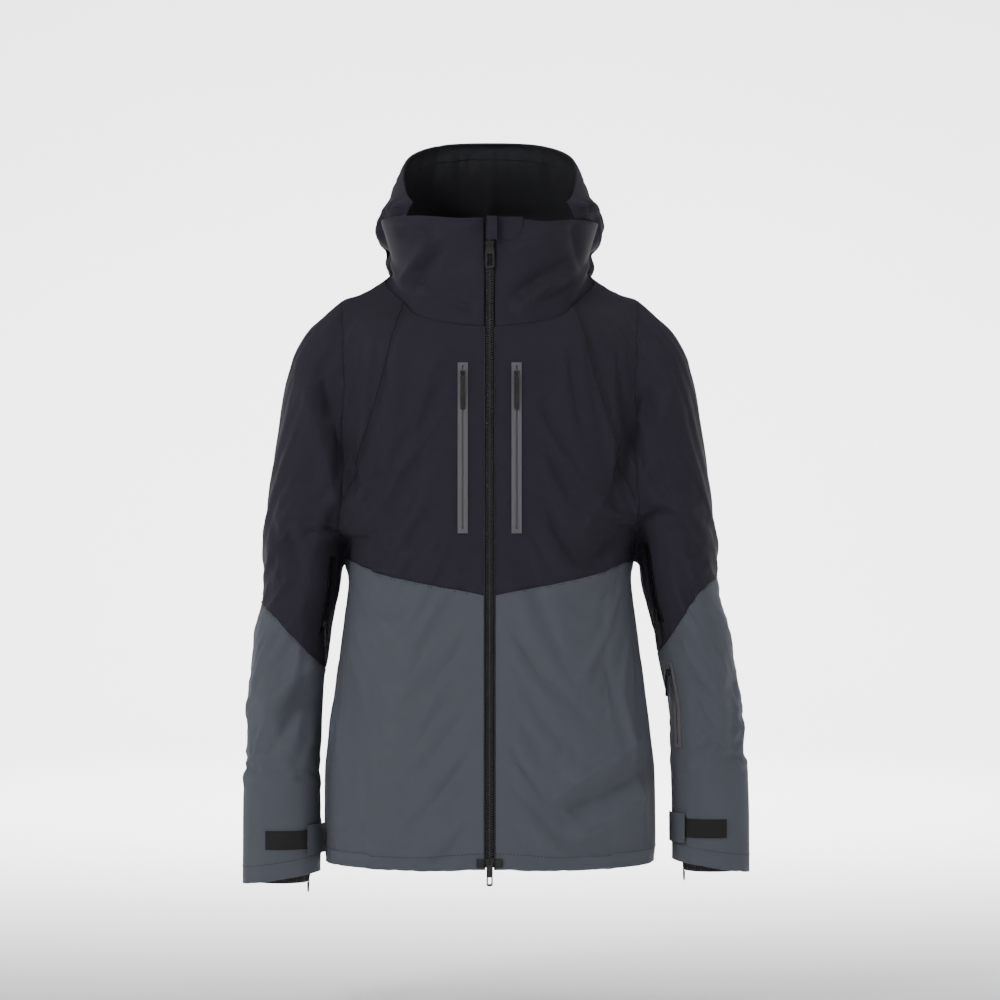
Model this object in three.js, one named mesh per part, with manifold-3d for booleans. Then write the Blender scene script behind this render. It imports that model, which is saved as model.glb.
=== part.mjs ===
// Hooded ski shell jacket, as worn: fronts and back in two colours, stand collar, hood hanging behind the neck,
// two-way front zip, two chest zips, sleeves with underarm vents, cuff tabs and wrist gaiters.
// Millimetres, +Z up, the front faces -Y, the wearer's left is +X. Heights below are measured from the hem,
// and the whole jacket is lowered at the end so that the origin lies between the shoulder seams.
import * as THREE from 'three';
import { mergeVertices } from 'three/addons/utils/BufferGeometryUtils.js';
import Module from 'manifold-3d';

const wasm = await Module();
wasm.setup();

// Cloth and seams
const FABRIC = 2.4; // shell, film and lining together
const GAP = 0.3; // between two pieces that touch
const FILM = 1.3; // welded tapes and hook-and-loop strips

// Body
const NECK_HEIGHT = 757; // hem to the side of the neck seam
const FRONT_NECK_DROP = 73; // the neck seam dips this much at the front
const ARMHOLE_DEPTH = 349; // neck seam to underarm
const HEM_HALF_WIDTH = 214;
const UNDERARM_HALF_WIDTH = 181;
const CHEST_HALF_WIDTH = 204;
const SHOULDER_HALF_WIDTH = 224; // before the armhole plane cuts the shoulder off
const NECK_HALF_WIDTH = 121;
const ARMHOLE_X = 190; // plane of the armhole seam
const HEM_FRONT_DEPTH = 140; // centre line to front at the hem
const FRONT_LEAN = 0.05; // the front leans back this much per unit of height
const HEM_BACK_DEPTH = 135;
const CHEST_BACK_DEPTH = 150;
const NECK_BACK_DEPTH = 95;
const SIDE_SEAM_Y = 20;
const COLOUR_SEAM_HEIGHT = 342; // the black yoke meets the grey skirt here, at the centre front
const COLOUR_SEAM_RISE = 0.24; // and rises this much per unit of width

// Collar and hood
const COLLAR_HEIGHT = 66; // above the side of the neck seam
const COLLAR_HALF_WIDTH = 141;
const COLLAR_BACK_DEPTH = 106;
const GUARD_DROP = 30; // the chin guard reaches this far down over the parked slider
const HOOD_EASE = 8; // the hood hangs this much wider than the collar on each side
const HOOD_BACK = 192; // how far back the hood hangs
const HOOD_FRONT = -58; // front ends of the hood's rim, beside the cheeks
const HOOD_HEIGHT = 188; // above the side of the neck seam
const RIM_TOP_Y = 138; // how far back the rim reaches at its top
const BRIM_WIDTH = 22;
const HOOD_HINGE_Y = -60; // the hood lifts about a line through its front ends
const HOOD_LIFT = 30; // degrees
const HOOD_LIFT_STEPS = 12;

// Sleeves: how each one hangs, the wearer's right first. The gaps are to the line of the hem's side.
const SIDES = [
  { name: 'right', sign: -1, elbowGap: 4, cuffGap: 5, cuffHeight: -30, colourSeam: 256 },
  { name: 'left', sign: 1, elbowGap: 16, cuffGap: 21, cuffHeight: -15, colourSeam: 274 },
];
const FOREARM_HEIGHT = 74;
const ELBOW_HEIGHT = 204;
const UPPER_ARM_X = 229;
const UPPER_ARM_HALF_WIDTH = 57;
const ELBOW_HALF_WIDTH = 50;
const CUFF_HALF_WIDTH = 51;
const UPPER_ARM_HALF_DEPTH = 84;
const ELBOW_HALF_DEPTH = 60;
const CUFF_HALF_DEPTH = 44;
const CUFF_FORWARD = 22; // the forearm hangs this much forward
const SLEEVE_SEAM_RISE = 1.05; // slope of the sleeve's colour seam
const CUFF_SLOPE = 0.16; // the cuff's hem rises towards the body
const VENT_LENGTH = 100;
const VENT_RISE = 34; // from the sleeve's colour seam up to the vent
const FOREARM_ZIP_LENGTH = 110;
const FOREARM_ZIP_DROP = 18; // from the sleeve's colour seam down to the zip
const VENT_TOWARDS = [0.8, 0.6]; // the vents and the forearm zip lie between the inner side and the front
const TAB_LOW = 40; // above the cuff's lowest point
const TAB_HEIGHT = 38;
const TAB_REACH = 24;
const PATCH_LENGTH = 54;
const PATCH_HEIGHT = 24;
const GAITER_LENGTH = 62;
const GAITER_HALF_WIDTH = 35;
const GAITER_HALF_DEPTH = 30;
const LOOP_WIDTH = 30;
const LOOP_DROP = 14;
const LOOP_BAND = 6;

// Front zip
const ZIP_WINDOW = 6.5; // half the gap between the fronts
const ZIP_BOTTOM = 3;
const ZIP_END_DROP = 8; // from the collar's edge to the top of the teeth
const TOOTH_CLEARANCE = 0.9; // from the teeth to the edges of the fronts
const TOOTH_PROUD = 0.6;
const ZIP_SLOT = 0.9; // half the slot that a slider's web runs in
const TAPE_HALF_WIDTH = 18;
const TAPE = 1;
const TAPE_RECESS = 1.3; // clears the curve of the fronts
const FLAP_HALF_WIDTH = 23;
const TOP_SLIDER_DROP = 36; // from the collar's edge to the parked slider
const LOWER_SLIDER_HEIGHT = 10;

// Sliders and pulls
const RUN = 0.4; // running clearance of a slider
const WEB = 1;
const PIN_RADIUS = 0.8;
const MAIN_SLIDER = { width: 12, length: 14, plate: 1.8, lug: 3.6 };
const SMALL_SLIDER = { width: 7, length: 9, plate: 1.4, lug: 3.4 };

// Chest zips and pockets
const CHEST_ZIP_X = 34;
const CHEST_ZIP_BOTTOM = 422;
const CHEST_ZIP_LENGTH = 216;
const CHEST_RECESS = 0.8; // the chest curves back this much beside the centre
const WELT_WIDTH = 13;
const WELT_SLOT = 2;
const POCKET_WIDTH = 120;
const POCKET_DEPTH = 230;

// Inside
const SKIRT_TOP = 300;
const SKIRT_LENGTH = 150;
const SKIRT_TAPER = 26; // how far the skirt's elastic edge stands in from the shell
const SKIRT_HALF_OPENING = 30;
const HANGER_WIDTH = 50;
const HANGER_DROP = 22;
const HANGER_BAND = 6;

const ARMPIT = NECK_HEIGHT - ARMHOLE_DEPTH;
const TOOTH_HALF_WIDTH = ZIP_WINDOW - TOOTH_CLEARANCE;
const COLLAR_TOP = NECK_HEIGHT + COLLAR_HEIGHT;
const HOOD_TOP = NECK_HEIGHT + HOOD_HEIGHT;
const HOOD_HALF_WIDTH = COLLAR_HALF_WIDTH + HOOD_EASE;
const ZIP_TOP = COLLAR_TOP - ZIP_END_DROP;
const TOP_SLIDER_HEIGHT = COLLAR_TOP - TOP_SLIDER_DROP;
const ORIGIN_HEIGHT = NECK_HEIGHT; // level of the neck seam at the sides
const LEAN_ANGLE = Math.atan(FRONT_LEAN);
const FAR = 700; // longer than the jacket is wide or deep

const BLACK = { color: 0x1f1e26, roughness: 0.8, metalness: 0 };
const GREY = { color: 0x51545d, roughness: 0.8, metalness: 0 };
const LINING = { color: 0x232326, roughness: 0.9, metalness: 0 };
const TRIM = { color: 0x5e5d64, roughness: 0.6, metalness: 0 };
const PLASTIC = { color: 0x17171a, roughness: 0.35, metalness: 0 };
const HOOK = { color: 0x1b191d, roughness: 0.95, metalness: 0 };

// ---- Solids -------------------------------------------------------------------------------------------------

function toSolid(geometry) {
  const bare = geometry.clone();
  bare.deleteAttribute('normal');
  bare.deleteAttribute('uv');
  const merged = mergeVertices(bare, 1e-4);
  return new wasm.Manifold(new wasm.Mesh({
    numProp: 3,
    vertProperties: new Float32Array(merged.attributes.position.array),
    triVerts: new Uint32Array(merged.index.array),
  }));
}

function toGeometry(solid) {
  const { vertProperties, triVerts } = solid.getMesh();
  const geometry = new THREE.BufferGeometry();
  geometry.setAttribute('position', new THREE.BufferAttribute(vertProperties, 3));
  geometry.setIndex(new THREE.BufferAttribute(triVerts, 1));
  geometry.computeVertexNormals();
  return geometry;
}

const jacket = new THREE.Group();

function place(name, solid, look, parent = jacket) {
  const mesh = new THREE.Mesh(toGeometry(solid), new THREE.MeshStandardMaterial(look));
  mesh.name = name;
  parent.add(mesh);
  return mesh;
}

// A block between two corners, in a frame of its own where one is given
function block(low, high, frame) {
  const geometry = new THREE.BoxGeometry(high[0] - low[0], high[1] - low[1], high[2] - low[2]);
  geometry.translate((low[0] + high[0]) / 2, (low[1] + high[1]) / 2, (low[2] + high[2]) / 2);
  return toSolid(frame ? geometry.applyMatrix4(frame) : geometry);
}

function outline(points) {
  return new THREE.Shape(points.map(([u, v]) => new THREE.Vector2(u, v)));
}

// A shape drawn in x and z, carried along y between two depths
function throughY(shape, near = -FAR, far = FAR) {
  const geometry = new THREE.ExtrudeGeometry(shape, { depth: far - near, bevelEnabled: false, curveSegments: 6 });
  geometry.rotateX(Math.PI / 2);
  geometry.translate(0, far, 0);
  return toSolid(geometry);
}

// A shape drawn in y and z, carried along x between two widths
function throughX(shape, low = -FAR, high = FAR) {
  const geometry = new THREE.ExtrudeGeometry(shape, { depth: high - low, bevelEnabled: false, curveSegments: 6 });
  geometry.rotateZ(Math.PI / 2);
  geometry.rotateY(Math.PI / 2);
  geometry.translate(low, 0, 0);
  return toSolid(geometry);
}

// A shape drawn in x and y, carried up between two heights, in a frame of its own where one is given
function throughZ(shape, low, high, frame) {
  const geometry = new THREE.ExtrudeGeometry(shape, { depth: high - low, bevelEnabled: false, curveSegments: 6 });
  geometry.translate(0, 0, low);
  return toSolid(frame ? geometry.applyMatrix4(frame) : geometry);
}

function ordered(a, b) {
  return a < b ? [a, b] : [b, a];
}

function rectangle(x0, y0, x1, y1) {
  return outline([[x0, y0], [x1, y0], [x1, y1], [x0, y1]]);
}

// A closed form through rounded sections: z, centre x and y, half width, depth to front and back, squareness.
// grow moves its surface outwards; it may be a function of height.
function loft(sections, segments, grow = 0) {
  const levels = sections.length - 1;
  const geometry = new THREE.CylinderGeometry(1, 1, 1, segments, levels);
  geometry.rotateX(Math.PI / 2);
  const position = geometry.attributes.position;
  for (let i = 0; i < position.count; i += 1) {
    const section = sections[Math.round((position.getZ(i) + 0.5) * levels)];
    const extra = typeof grow === 'function' ? grow(section.z) : grow;
    const [x, y] = rim(section, position.getX(i), position.getY(i), extra);
    position.setXYZ(i, x, y, section.z);
  }
  return toSolid(geometry);
}

// The point of a section in the direction of (u, v) on the unit circle
function rim(section, u, v, extra) {
  const power = 2 / section.square;
  const depth = v < 0 ? section.front : section.back;
  const bend = (t) => Math.sign(t) * Math.abs(t) ** power;
  return [section.x + (section.half + extra) * bend(u), section.y + (depth + extra) * bend(v)];
}

function between(outer, inner) {
  return outer.subtract(inner);
}

// ---- Forms --------------------------------------------------------------------------------------------------

function frontDepth(z) {
  return HEM_FRONT_DEPTH - FRONT_LEAN * z;
}

function bodySection(z, half, back, square) {
  return { z, x: 0, y: 0, half, front: frontDepth(z), back, square };
}

const hipHalfWidth = HEM_HALF_WIDTH - 2;
const waistHalfWidth = (UNDERARM_HALF_WIDTH + hipHalfWidth) / 2;
const upperBackDepth = (CHEST_BACK_DEPTH + NECK_BACK_DEPTH) / 2;
const bodySections = [
  bodySection(-40, HEM_HALF_WIDTH, HEM_BACK_DEPTH, 2.5),
  bodySection(ARMPIT - 282, hipHalfWidth, HEM_BACK_DEPTH + 3, 2.5),
  bodySection(ARMPIT - 150, waistHalfWidth, HEM_BACK_DEPTH + 6, 2.5),
  bodySection(ARMPIT - 55, UNDERARM_HALF_WIDTH + 3, CHEST_BACK_DEPTH - 4, 2.5),
  bodySection(ARMPIT, UNDERARM_HALF_WIDTH, CHEST_BACK_DEPTH - 1, 2.5),
  bodySection(ARMPIT + 45, CHEST_HALF_WIDTH - 8, CHEST_BACK_DEPTH, 2.5),
  bodySection(ARMPIT + 92, CHEST_HALF_WIDTH, CHEST_BACK_DEPTH, 2.5),
  bodySection(ARMPIT + 195, SHOULDER_HALF_WIDTH - 2, CHEST_BACK_DEPTH - 7, 2.4),
  bodySection(NECK_HEIGHT - 102, SHOULDER_HALF_WIDTH, upperBackDepth + 8, 2.3),
  bodySection(NECK_HEIGHT - 67, SHOULDER_HALF_WIDTH - 12, upperBackDepth - 5, 1.75),
  bodySection(NECK_HEIGHT - 42, ARMHOLE_X + 3, NECK_BACK_DEPTH + 10, 1.2),
  bodySection(NECK_HEIGHT - 24, ARMHOLE_X - 20, NECK_BACK_DEPTH + 4, 1.1),
  bodySection(NECK_HEIGHT - 9, NECK_HALF_WIDTH + 21, NECK_BACK_DEPTH + 1, 1.3),
  bodySection(NECK_HEIGHT + 2, NECK_HALF_WIDTH, NECK_BACK_DEPTH, 2.1),
  bodySection(NECK_HEIGHT + 20, NECK_HALF_WIDTH - 3, NECK_BACK_DEPTH, 2.2),
];

const collarSections = [
  bodySection(NECK_HEIGHT - FRONT_NECK_DROP - 20, NECK_HALF_WIDTH + 4, NECK_BACK_DEPTH, 2.2),
  bodySection(NECK_HEIGHT, NECK_HALF_WIDTH, NECK_BACK_DEPTH, 2.2),
  bodySection((NECK_HEIGHT + COLLAR_TOP) / 2, COLLAR_HALF_WIDTH - 10, COLLAR_BACK_DEPTH - 4, 2.2),
  bodySection(COLLAR_TOP, COLLAR_HALF_WIDTH, COLLAR_BACK_DEPTH, 2.2),
  bodySection(COLLAR_TOP + 20, COLLAR_HALF_WIDTH, COLLAR_BACK_DEPTH, 2.2),
];

// The body's section at any height
function bodySectionAt(z) {
  const upper = bodySections.findIndex((section) => section.z >= z);
  const [a, b] = [bodySections[upper - 1], bodySections[upper]];
  const t = (z - a.z) / (b.z - a.z);
  return bodySection(z, THREE.MathUtils.lerp(a.half, b.half, t), THREE.MathUtils.lerp(a.back, b.back, t), a.square);
}

function hoodSection(z, half, front, back) {
  const y = (front + back) / 2;
  return { z, x: 0, y, half, front: back - y, back: back - y, square: 2.3 };
}

function hoodSections(inset) {
  const low = NECK_HEIGHT - 30 + inset;
  return [
    hoodSection(low, HOOD_HALF_WIDTH - 80, HOOD_BACK - 75, HOOD_BACK - 30),
    hoodSection(NECK_HEIGHT - 10, HOOD_HALF_WIDTH - 36, HOOD_BACK - 112, HOOD_BACK - 16),
    hoodSection(NECK_HEIGHT + 10, HOOD_HALF_WIDTH - 12, 15, HOOD_BACK - 6),
    hoodSection(NECK_HEIGHT + 35, HOOD_HALF_WIDTH - 3, -40, HOOD_BACK - 2),
    hoodSection(COLLAR_TOP, HOOD_HALF_WIDTH, HOOD_FRONT - 14, HOOD_BACK),
    hoodSection(COLLAR_TOP + 27, HOOD_HALF_WIDTH, HOOD_FRONT - 14, HOOD_BACK - 4),
    hoodSection(COLLAR_TOP + 58, HOOD_HALF_WIDTH - 12, HOOD_FRONT + 8, HOOD_BACK - 18),
    hoodSection(HOOD_TOP - 30, HOOD_HALF_WIDTH - 31, HOOD_FRONT + 40, HOOD_BACK - 36),
    hoodSection(HOOD_TOP, HOOD_HALF_WIDTH - 53, HOOD_FRONT + 76, HOOD_BACK - 52),
  ];
}

const elbowX = (side) => HEM_HALF_WIDTH + side.elbowGap + ELBOW_HALF_WIDTH;
const cuffX = (side) => HEM_HALF_WIDTH + side.cuffGap + CUFF_HALF_WIDTH;

function sleeveSections(side) {
  const section = (z, x, y, half, depth) => ({
    z, x: side.sign * x, y, half, front: depth, back: depth, square: 2.1,
  });
  const mid = (a, b) => (a + b) / 2;
  return [
    section(side.cuffHeight - 60, cuffX(side), -CUFF_FORWARD, CUFF_HALF_WIDTH, CUFF_HALF_DEPTH),
    section(FOREARM_HEIGHT, cuffX(side) - 1, -CUFF_FORWARD, CUFF_HALF_WIDTH, CUFF_HALF_DEPTH + 3),
    section(mid(FOREARM_HEIGHT, ELBOW_HEIGHT), mid(cuffX(side), elbowX(side)), -CUFF_FORWARD / 2,
      mid(CUFF_HALF_WIDTH, ELBOW_HALF_WIDTH), mid(CUFF_HALF_DEPTH, ELBOW_HALF_DEPTH) + 2),
    section(ELBOW_HEIGHT, elbowX(side), 0, ELBOW_HALF_WIDTH, ELBOW_HALF_DEPTH),
    section(mid(ELBOW_HEIGHT, ARMPIT), mid(elbowX(side), UPPER_ARM_X) + 8, 3, ELBOW_HALF_WIDTH + 0.5,
      ELBOW_HALF_DEPTH + 13),
    section(ARMPIT, UPPER_ARM_X + 13, 4, UPPER_ARM_HALF_WIDTH - 4, UPPER_ARM_HALF_DEPTH - 5),
    section(ARMPIT + 92, UPPER_ARM_X, 5, UPPER_ARM_HALF_WIDTH, UPPER_ARM_HALF_DEPTH),
    section(ARMPIT + 202, UPPER_ARM_X - 14, 5, UPPER_ARM_HALF_WIDTH - 2, UPPER_ARM_HALF_DEPTH - 2),
    section(NECK_HEIGHT - 102, ARMHOLE_X + 16, 4, UPPER_ARM_HALF_WIDTH - 4, UPPER_ARM_HALF_DEPTH - 18),
    section(NECK_HEIGHT - 67, ARMHOLE_X + 3, 3, UPPER_ARM_HALF_WIDTH - 11, UPPER_ARM_HALF_DEPTH - 36),
    section(NECK_HEIGHT - 42, ARMHOLE_X - 15, 2, UPPER_ARM_HALF_WIDTH - 25, UPPER_ARM_HALF_DEPTH - 56),
    section(NECK_HEIGHT - 29, ARMHOLE_X - 30, 2, UPPER_ARM_HALF_WIDTH - 26, UPPER_ARM_HALF_DEPTH - 66),
  ];
}

const bodyForm = (grow) => loft(bodySections, 40, grow);
const collarForm = (grow) => loft(collarSections, 40, grow);
const bodyShell = between(bodyForm(0), bodyForm(-FABRIC));
const collarShell = between(collarForm(0), collarForm(-FABRIC));

// Everything under the neck seam, which slopes down to the front
function underNeckSeam(lift) {
  const slope = FRONT_NECK_DROP / frontDepth(NECK_HEIGHT - FRONT_NECK_DROP);
  const top = NECK_HEIGHT + lift;
  return throughX(outline([[-FAR, -FAR], [FAR, -FAR], [FAR, top], [0, top], [-FAR, top - slope * FAR]]));
}

// Everything under the V of the body's colour seam
function underColourSeam(lift) {
  const centre = COLOUR_SEAM_HEIGHT + lift;
  const edge = centre + COLOUR_SEAM_RISE * FAR;
  return throughY(outline([[-FAR, -FAR], [FAR, -FAR], [FAR, edge], [0, centre], [-FAR, edge]]));
}

// ---- Body panels --------------------------------------------------------------------------------------------

function bodyPanels() {
  const clearOfArms = SIDES.reduce((shell, { sign }) => {
    const [low, high] = ordered(sign * ARMHOLE_X, sign * FAR);
    return shell.subtract(block([low, -FAR, ARMPIT - 60], [high, FAR, FAR * 2]));
  }, bodyShell);
  const body = clearOfArms.intersect(underNeckSeam(0)).intersect(block([-FAR, -FAR, 0], [FAR, FAR, FAR * 2]));
  const upper = body.subtract(underColourSeam(GAP));
  const lower = body.intersect(underColourSeam(0));
  const back = block([-FAR, SIDE_SEAM_Y + GAP, -FAR], [FAR, FAR, FAR * 2]);
  place('back_upper', upper.intersect(back), BLACK);
  place('back_lower', lower.intersect(back), GREY);
  for (const side of SIDES) {
    const [low, high] = ordered(side.sign * ZIP_WINDOW, side.sign * FAR);
    const front = block([low, -FAR, -FAR], [high, SIDE_SEAM_Y, FAR * 2]);
    place(`front_upper_${side.name}`, upper.intersect(front), BLACK);
    place(`front_lower_${side.name}`, lower.intersect(front), GREY);
  }
}

// ---- Collar and hood ----------------------------------------------------------------------------------------

function collarHalves() {
  const ring = collarShell.subtract(underNeckSeam(GAP)).intersect(block([-FAR, -FAR, 0], [FAR, FAR, COLLAR_TOP]));
  for (const side of SIDES) {
    const frontX = ordered(side.sign * ZIP_WINDOW, side.sign * FAR);
    const backX = ordered(side.sign * GAP / 2, side.sign * FAR);
    const half = block([frontX[0], -FAR, 0], [frontX[1], 0, FAR * 2])
      .add(block([backX[0], -1, 0], [backX[1], FAR, FAR * 2]));
    place(`collar_${side.name}`, ring.intersect(half), BLACK);
  }
}

// The half space behind the hood's rim, moved back by a distance
function behindRim(back) {
  const start = new THREE.Vector2(HOOD_FRONT - 14, COLLAR_TOP);
  const end = new THREE.Vector2(RIM_TOP_Y, HOOD_TOP);
  const along = end.clone().sub(start).normalize();
  const across = new THREE.Vector2(along.y, -along.x);
  const low = start.clone().addScaledVector(along, -FAR).addScaledVector(across, back);
  const high = start.clone().addScaledVector(along, FAR).addScaledVector(across, back);
  const corners = [low, low.clone().addScaledVector(across, FAR), high.clone().addScaledVector(across, FAR), high];
  return throughX(outline(corners.map((p) => [p.x, p.y])));
}

// A solid as the lifted hood meets it: turned back about the hood's hinge
function seenFromHood(solid, degrees) {
  const turn = new THREE.Matrix4().makeTranslation(0, HOOD_HINGE_Y, COLLAR_TOP)
    .multiply(new THREE.Matrix4().makeRotationX(-THREE.MathUtils.degToRad(degrees)))
    .multiply(new THREE.Matrix4().makeTranslation(0, -HOOD_HINGE_Y, -COLLAR_TOP));
  return toSolid(toGeometry(solid).applyMatrix4(turn));
}

function hood() {
  const clearance = GAP + 0.2;
  const shell = between(loft(hoodSections(0), 36), loft(hoodSections(FABRIC), 36, -FABRIC));
  const collar = collarForm(clearance).intersect(block([-FAR, -FAR, 0], [FAR, FAR, COLLAR_TOP + GAP]));
  let clear = shell;
  for (let step = 0; step <= HOOD_LIFT_STEPS; step += 1) {
    clear = clear.subtract(seenFromHood(collar, (step * HOOD_LIFT) / HOOD_LIFT_STEPS));
  }
  const hanging = clear
    .subtract(bodyForm(clearance))
    .intersect(block([-FAR, HOOD_FRONT, 0], [FAR, FAR, HOOD_TOP - 1]));
  place('hood_shell', hanging.intersect(behindRim(BRIM_WIDTH + GAP)), BLACK);
  const brim = hanging.intersect(behindRim(0)).subtract(behindRim(BRIM_WIDTH));
  place('hood_brim', brim, BLACK);
}

// ---- Zips ---------------------------------------------------------------------------------------------------

// The front zip's own frame: z runs up the leaning front, y = 0 is the outer face of the fronts
const zipFrame = new THREE.Group();
zipFrame.position.set(0, -HEM_FRONT_DEPTH, 0);
zipFrame.rotation.x = -LEAN_ANGLE;
zipFrame.updateMatrixWorld();
jacket.add(zipFrame);

const alongZip = (height) => height / Math.cos(LEAN_ANGLE);

const tapeFront = FABRIC + TAPE_RECESS;
const backPlate = tapeFront + TAPE + RUN;
const flapFront = backPlate + MAIN_SLIDER.plate + RUN;

function frontZip() {
  const besideSlider = Math.max(ZIP_WINDOW, MAIN_SLIDER.width / 2) + GAP;
  const low = alongZip(ZIP_BOTTOM);
  const high = alongZip(ZIP_TOP);
  for (const side of SIDES) {
    const at = (a, y0, b, y1) => {
      const [x0, x1] = ordered(side.sign * a, side.sign * b);
      return rectangle(x0, y0, x1, y1);
    };
    const teeth = throughZ(at(ZIP_SLOT, -TOOTH_PROUD, TOOTH_HALF_WIDTH, tapeFront - GAP), low, high);
    place(`zip_teeth_${side.name}`, teeth, PLASTIC, zipFrame);
    const tape = throughZ(at(ZIP_SLOT + 2, tapeFront, TAPE_HALF_WIDTH, tapeFront + TAPE), low, high);
    place(`zip_tape_${side.name}`, tape, LINING, zipFrame);
    const end = throughZ(at(besideSlider, -GAP - FILM, ZIP_WINDOW + 10, -GAP), low, low + 11);
    place(`zip_end_${side.name}`, end, PLASTIC, zipFrame);
  }
  const sewnFrom = MAIN_SLIDER.width / 2 + 3;
  const flap = throughZ(rectangle(-FLAP_HALF_WIDTH, flapFront, FLAP_HALF_WIDTH, flapFront + FILM), low + 5, high - 3)
    .add(throughZ(rectangle(sewnFrom, tapeFront + TAPE + GAP, FLAP_HALF_WIDTH, flapFront + FILM), low + 5, high - 3));
  place('storm_flap', flap, LINING, zipFrame);
}

// A slider's front plate with its pierced lug. The pin's centre is the origin, the plate lies behind it.
function sliderTop({ width, length, plate, lug }) {
  const half = width / 2;
  const nose = outline([
    [-half, length * 0.35], [-half * 0.6, -length * 0.65], [half * 0.6, -length * 0.65], [half, length * 0.35],
  ]);
  const face = throughY(nose, lug / 2, lug / 2 + plate);
  const ear = new THREE.CylinderGeometry(lug / 2 + 0.4, lug / 2 + 0.4, WEB + 1, 12);
  ear.rotateZ(Math.PI / 2);
  const bore = new THREE.CylinderGeometry(PIN_RADIUS + GAP, PIN_RADIUS + GAP, WEB * 4, 12);
  bore.rotateZ(Math.PI / 2);
  return face.add(toSolid(ear)).subtract(toSolid(bore));
}

// A pull that hangs from the lug: a fork with its pin, a neck, and a grip with or without a window
function zipPull({ lug }, { length, width, thick, window: holeLength }) {
  const inner = (WEB + 1) / 2 + GAP;
  const outer = inner + 1.1;
  const pin = new THREE.CylinderGeometry(PIN_RADIUS, PIN_RADIUS, outer * 2, 12);
  pin.rotateZ(Math.PI / 2);
  const reach = lug / 2 + 0.4 + RUN;
  const arm = (low, high) => block([low, -thick / 2, -reach - 1], [high, thick / 2, PIN_RADIUS]);
  const half = width / 2;
  const grip = new THREE.Shape();
  grip.moveTo(-outer, -reach);
  grip.lineTo(-half, -reach - 3);
  grip.lineTo(-half, -length + half / 2);
  grip.quadraticCurveTo(-half, -length, 0, -length);
  grip.quadraticCurveTo(half, -length, half, -length + half / 2);
  grip.lineTo(half, -reach - 3);
  grip.lineTo(outer, -reach);
  let pull = throughY(grip, -thick / 2, thick / 2).add(arm(-outer, -inner)).add(arm(inner, outer)).add(toSolid(pin));
  if (holeLength) {
    const hole = rectangle(-half * 0.5, -length + 3, half * 0.5, -length + 3 + holeLength);
    pull = pull.subtract(throughY(hole));
  }
  return pull;
}

const MAIN_PULL = { length: 30, width: 12, thick: 2, window: 15 };
const LOWER_PULL = { length: 30, width: 8, thick: 2, window: 8 };
const CHEST_PULL = { length: 46, width: 6, thick: 2, window: 0 };
const SMALL_PULL = { length: 32, width: 5, thick: 2, window: 0 };

// A slider that grips both rows of the front zip, with its web and back plate
function grippingSlider() {
  const { width, length, plate, lug } = MAIN_SLIDER;
  const from = lug / 2 + plate;
  const through = TOOTH_PROUD + RUN + backPlate;
  const web = block([-WEB / 2, from - 0.5, -length * 0.35], [WEB / 2, from + through + 0.5, length * 0.2]);
  const rear = block([-width / 2 + 0.5, from + through, -length * 0.5], [width / 2 - 0.5, from + through + plate,
    length * 0.3]);
  return sliderTop(MAIN_SLIDER).add(web).add(rear);
}

function hang(name, solid, at, turn = 0) {
  const mesh = place(name, solid, PLASTIC);
  mesh.position.copy(at);
  mesh.rotation.z = turn;
}

function frontSliders() {
  const outward = TOOTH_PROUD + RUN + MAIN_SLIDER.plate + MAIN_SLIDER.lug / 2;
  const sliders = [['main', TOP_SLIDER_HEIGHT, MAIN_PULL], ['lower', LOWER_SLIDER_HEIGHT, LOWER_PULL]];
  for (const [name, height, pull] of sliders) {
    const local = new THREE.Vector3(0, -outward, alongZip(height));
    const slider = place(`${name}_slider`, grippingSlider(), PLASTIC, zipFrame);
    slider.position.copy(local);
    hang(`${name}_pull`, zipPull(MAIN_SLIDER, pull), zipFrame.localToWorld(local.clone()));
  }
}

// A rounded flap at the top of the left front that covers the parked slider
function chinGuard() {
  const cover = TOOTH_PROUD + RUN + MAIN_SLIDER.plate + MAIN_SLIDER.lug + 0.4 + RUN + 0.6;
  const wall = MAIN_SLIDER.width / 2 + 2;
  const low = COLLAR_TOP - GUARD_DROP;
  const shape = new THREE.Shape();
  shape.moveTo(wall, COLLAR_TOP);
  shape.lineTo(wall, low);
  shape.lineTo(wall + 12, low);
  shape.quadraticCurveTo(wall + 34, low, wall + 34, COLLAR_TOP);
  const flap = between(collarForm(GAP + FILM), collarForm(GAP)).intersect(throughY(shape, -FAR, 0));
  const arch = throughZ(outline([
    [-4, -cover - FILM], [wall + FILM, -cover - FILM], [wall + FILM, -GAP - 0.2], [wall, -GAP - 0.2],
    [wall, -cover], [-4, -cover],
  ]), alongZip(low), alongZip(COLLAR_TOP), zipFrame.matrixWorld);
  place('chin_guard', flap.add(arch), BLACK);
}

// A thin layer that lies on a form's surface, lifted off it by a gap
function layer(form, lift, thick) {
  return between(form(lift + thick), form(lift));
}

// ---- Sliders on a curved surface ----------------------------------------------------------------------------

// The point of a sectioned form at a height, in the direction of (u, v), and the outward direction there
function onSurface(sections, z, [u, v]) {
  const upper = sections.findIndex((section) => section.z >= z);
  const [a, b] = [sections[upper - 1], sections[upper]];
  const t = (z - a.z) / (b.z - a.z);
  const point = (p, q) => {
    const [ax, ay] = rim(a, p, q, 0);
    const [bx, by] = rim(b, p, q, 0);
    return new THREE.Vector3(ax + (bx - ax) * t, ay + (by - ay) * t, z);
  };
  const turn = 0.02;
  const tangent = point(u - v * turn, v + u * turn).sub(point(u + v * turn, v - u * turn));
  return { at: point(u, v), out: new THREE.Vector3(tangent.y, -tangent.x, 0).normalize() };
}

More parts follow.
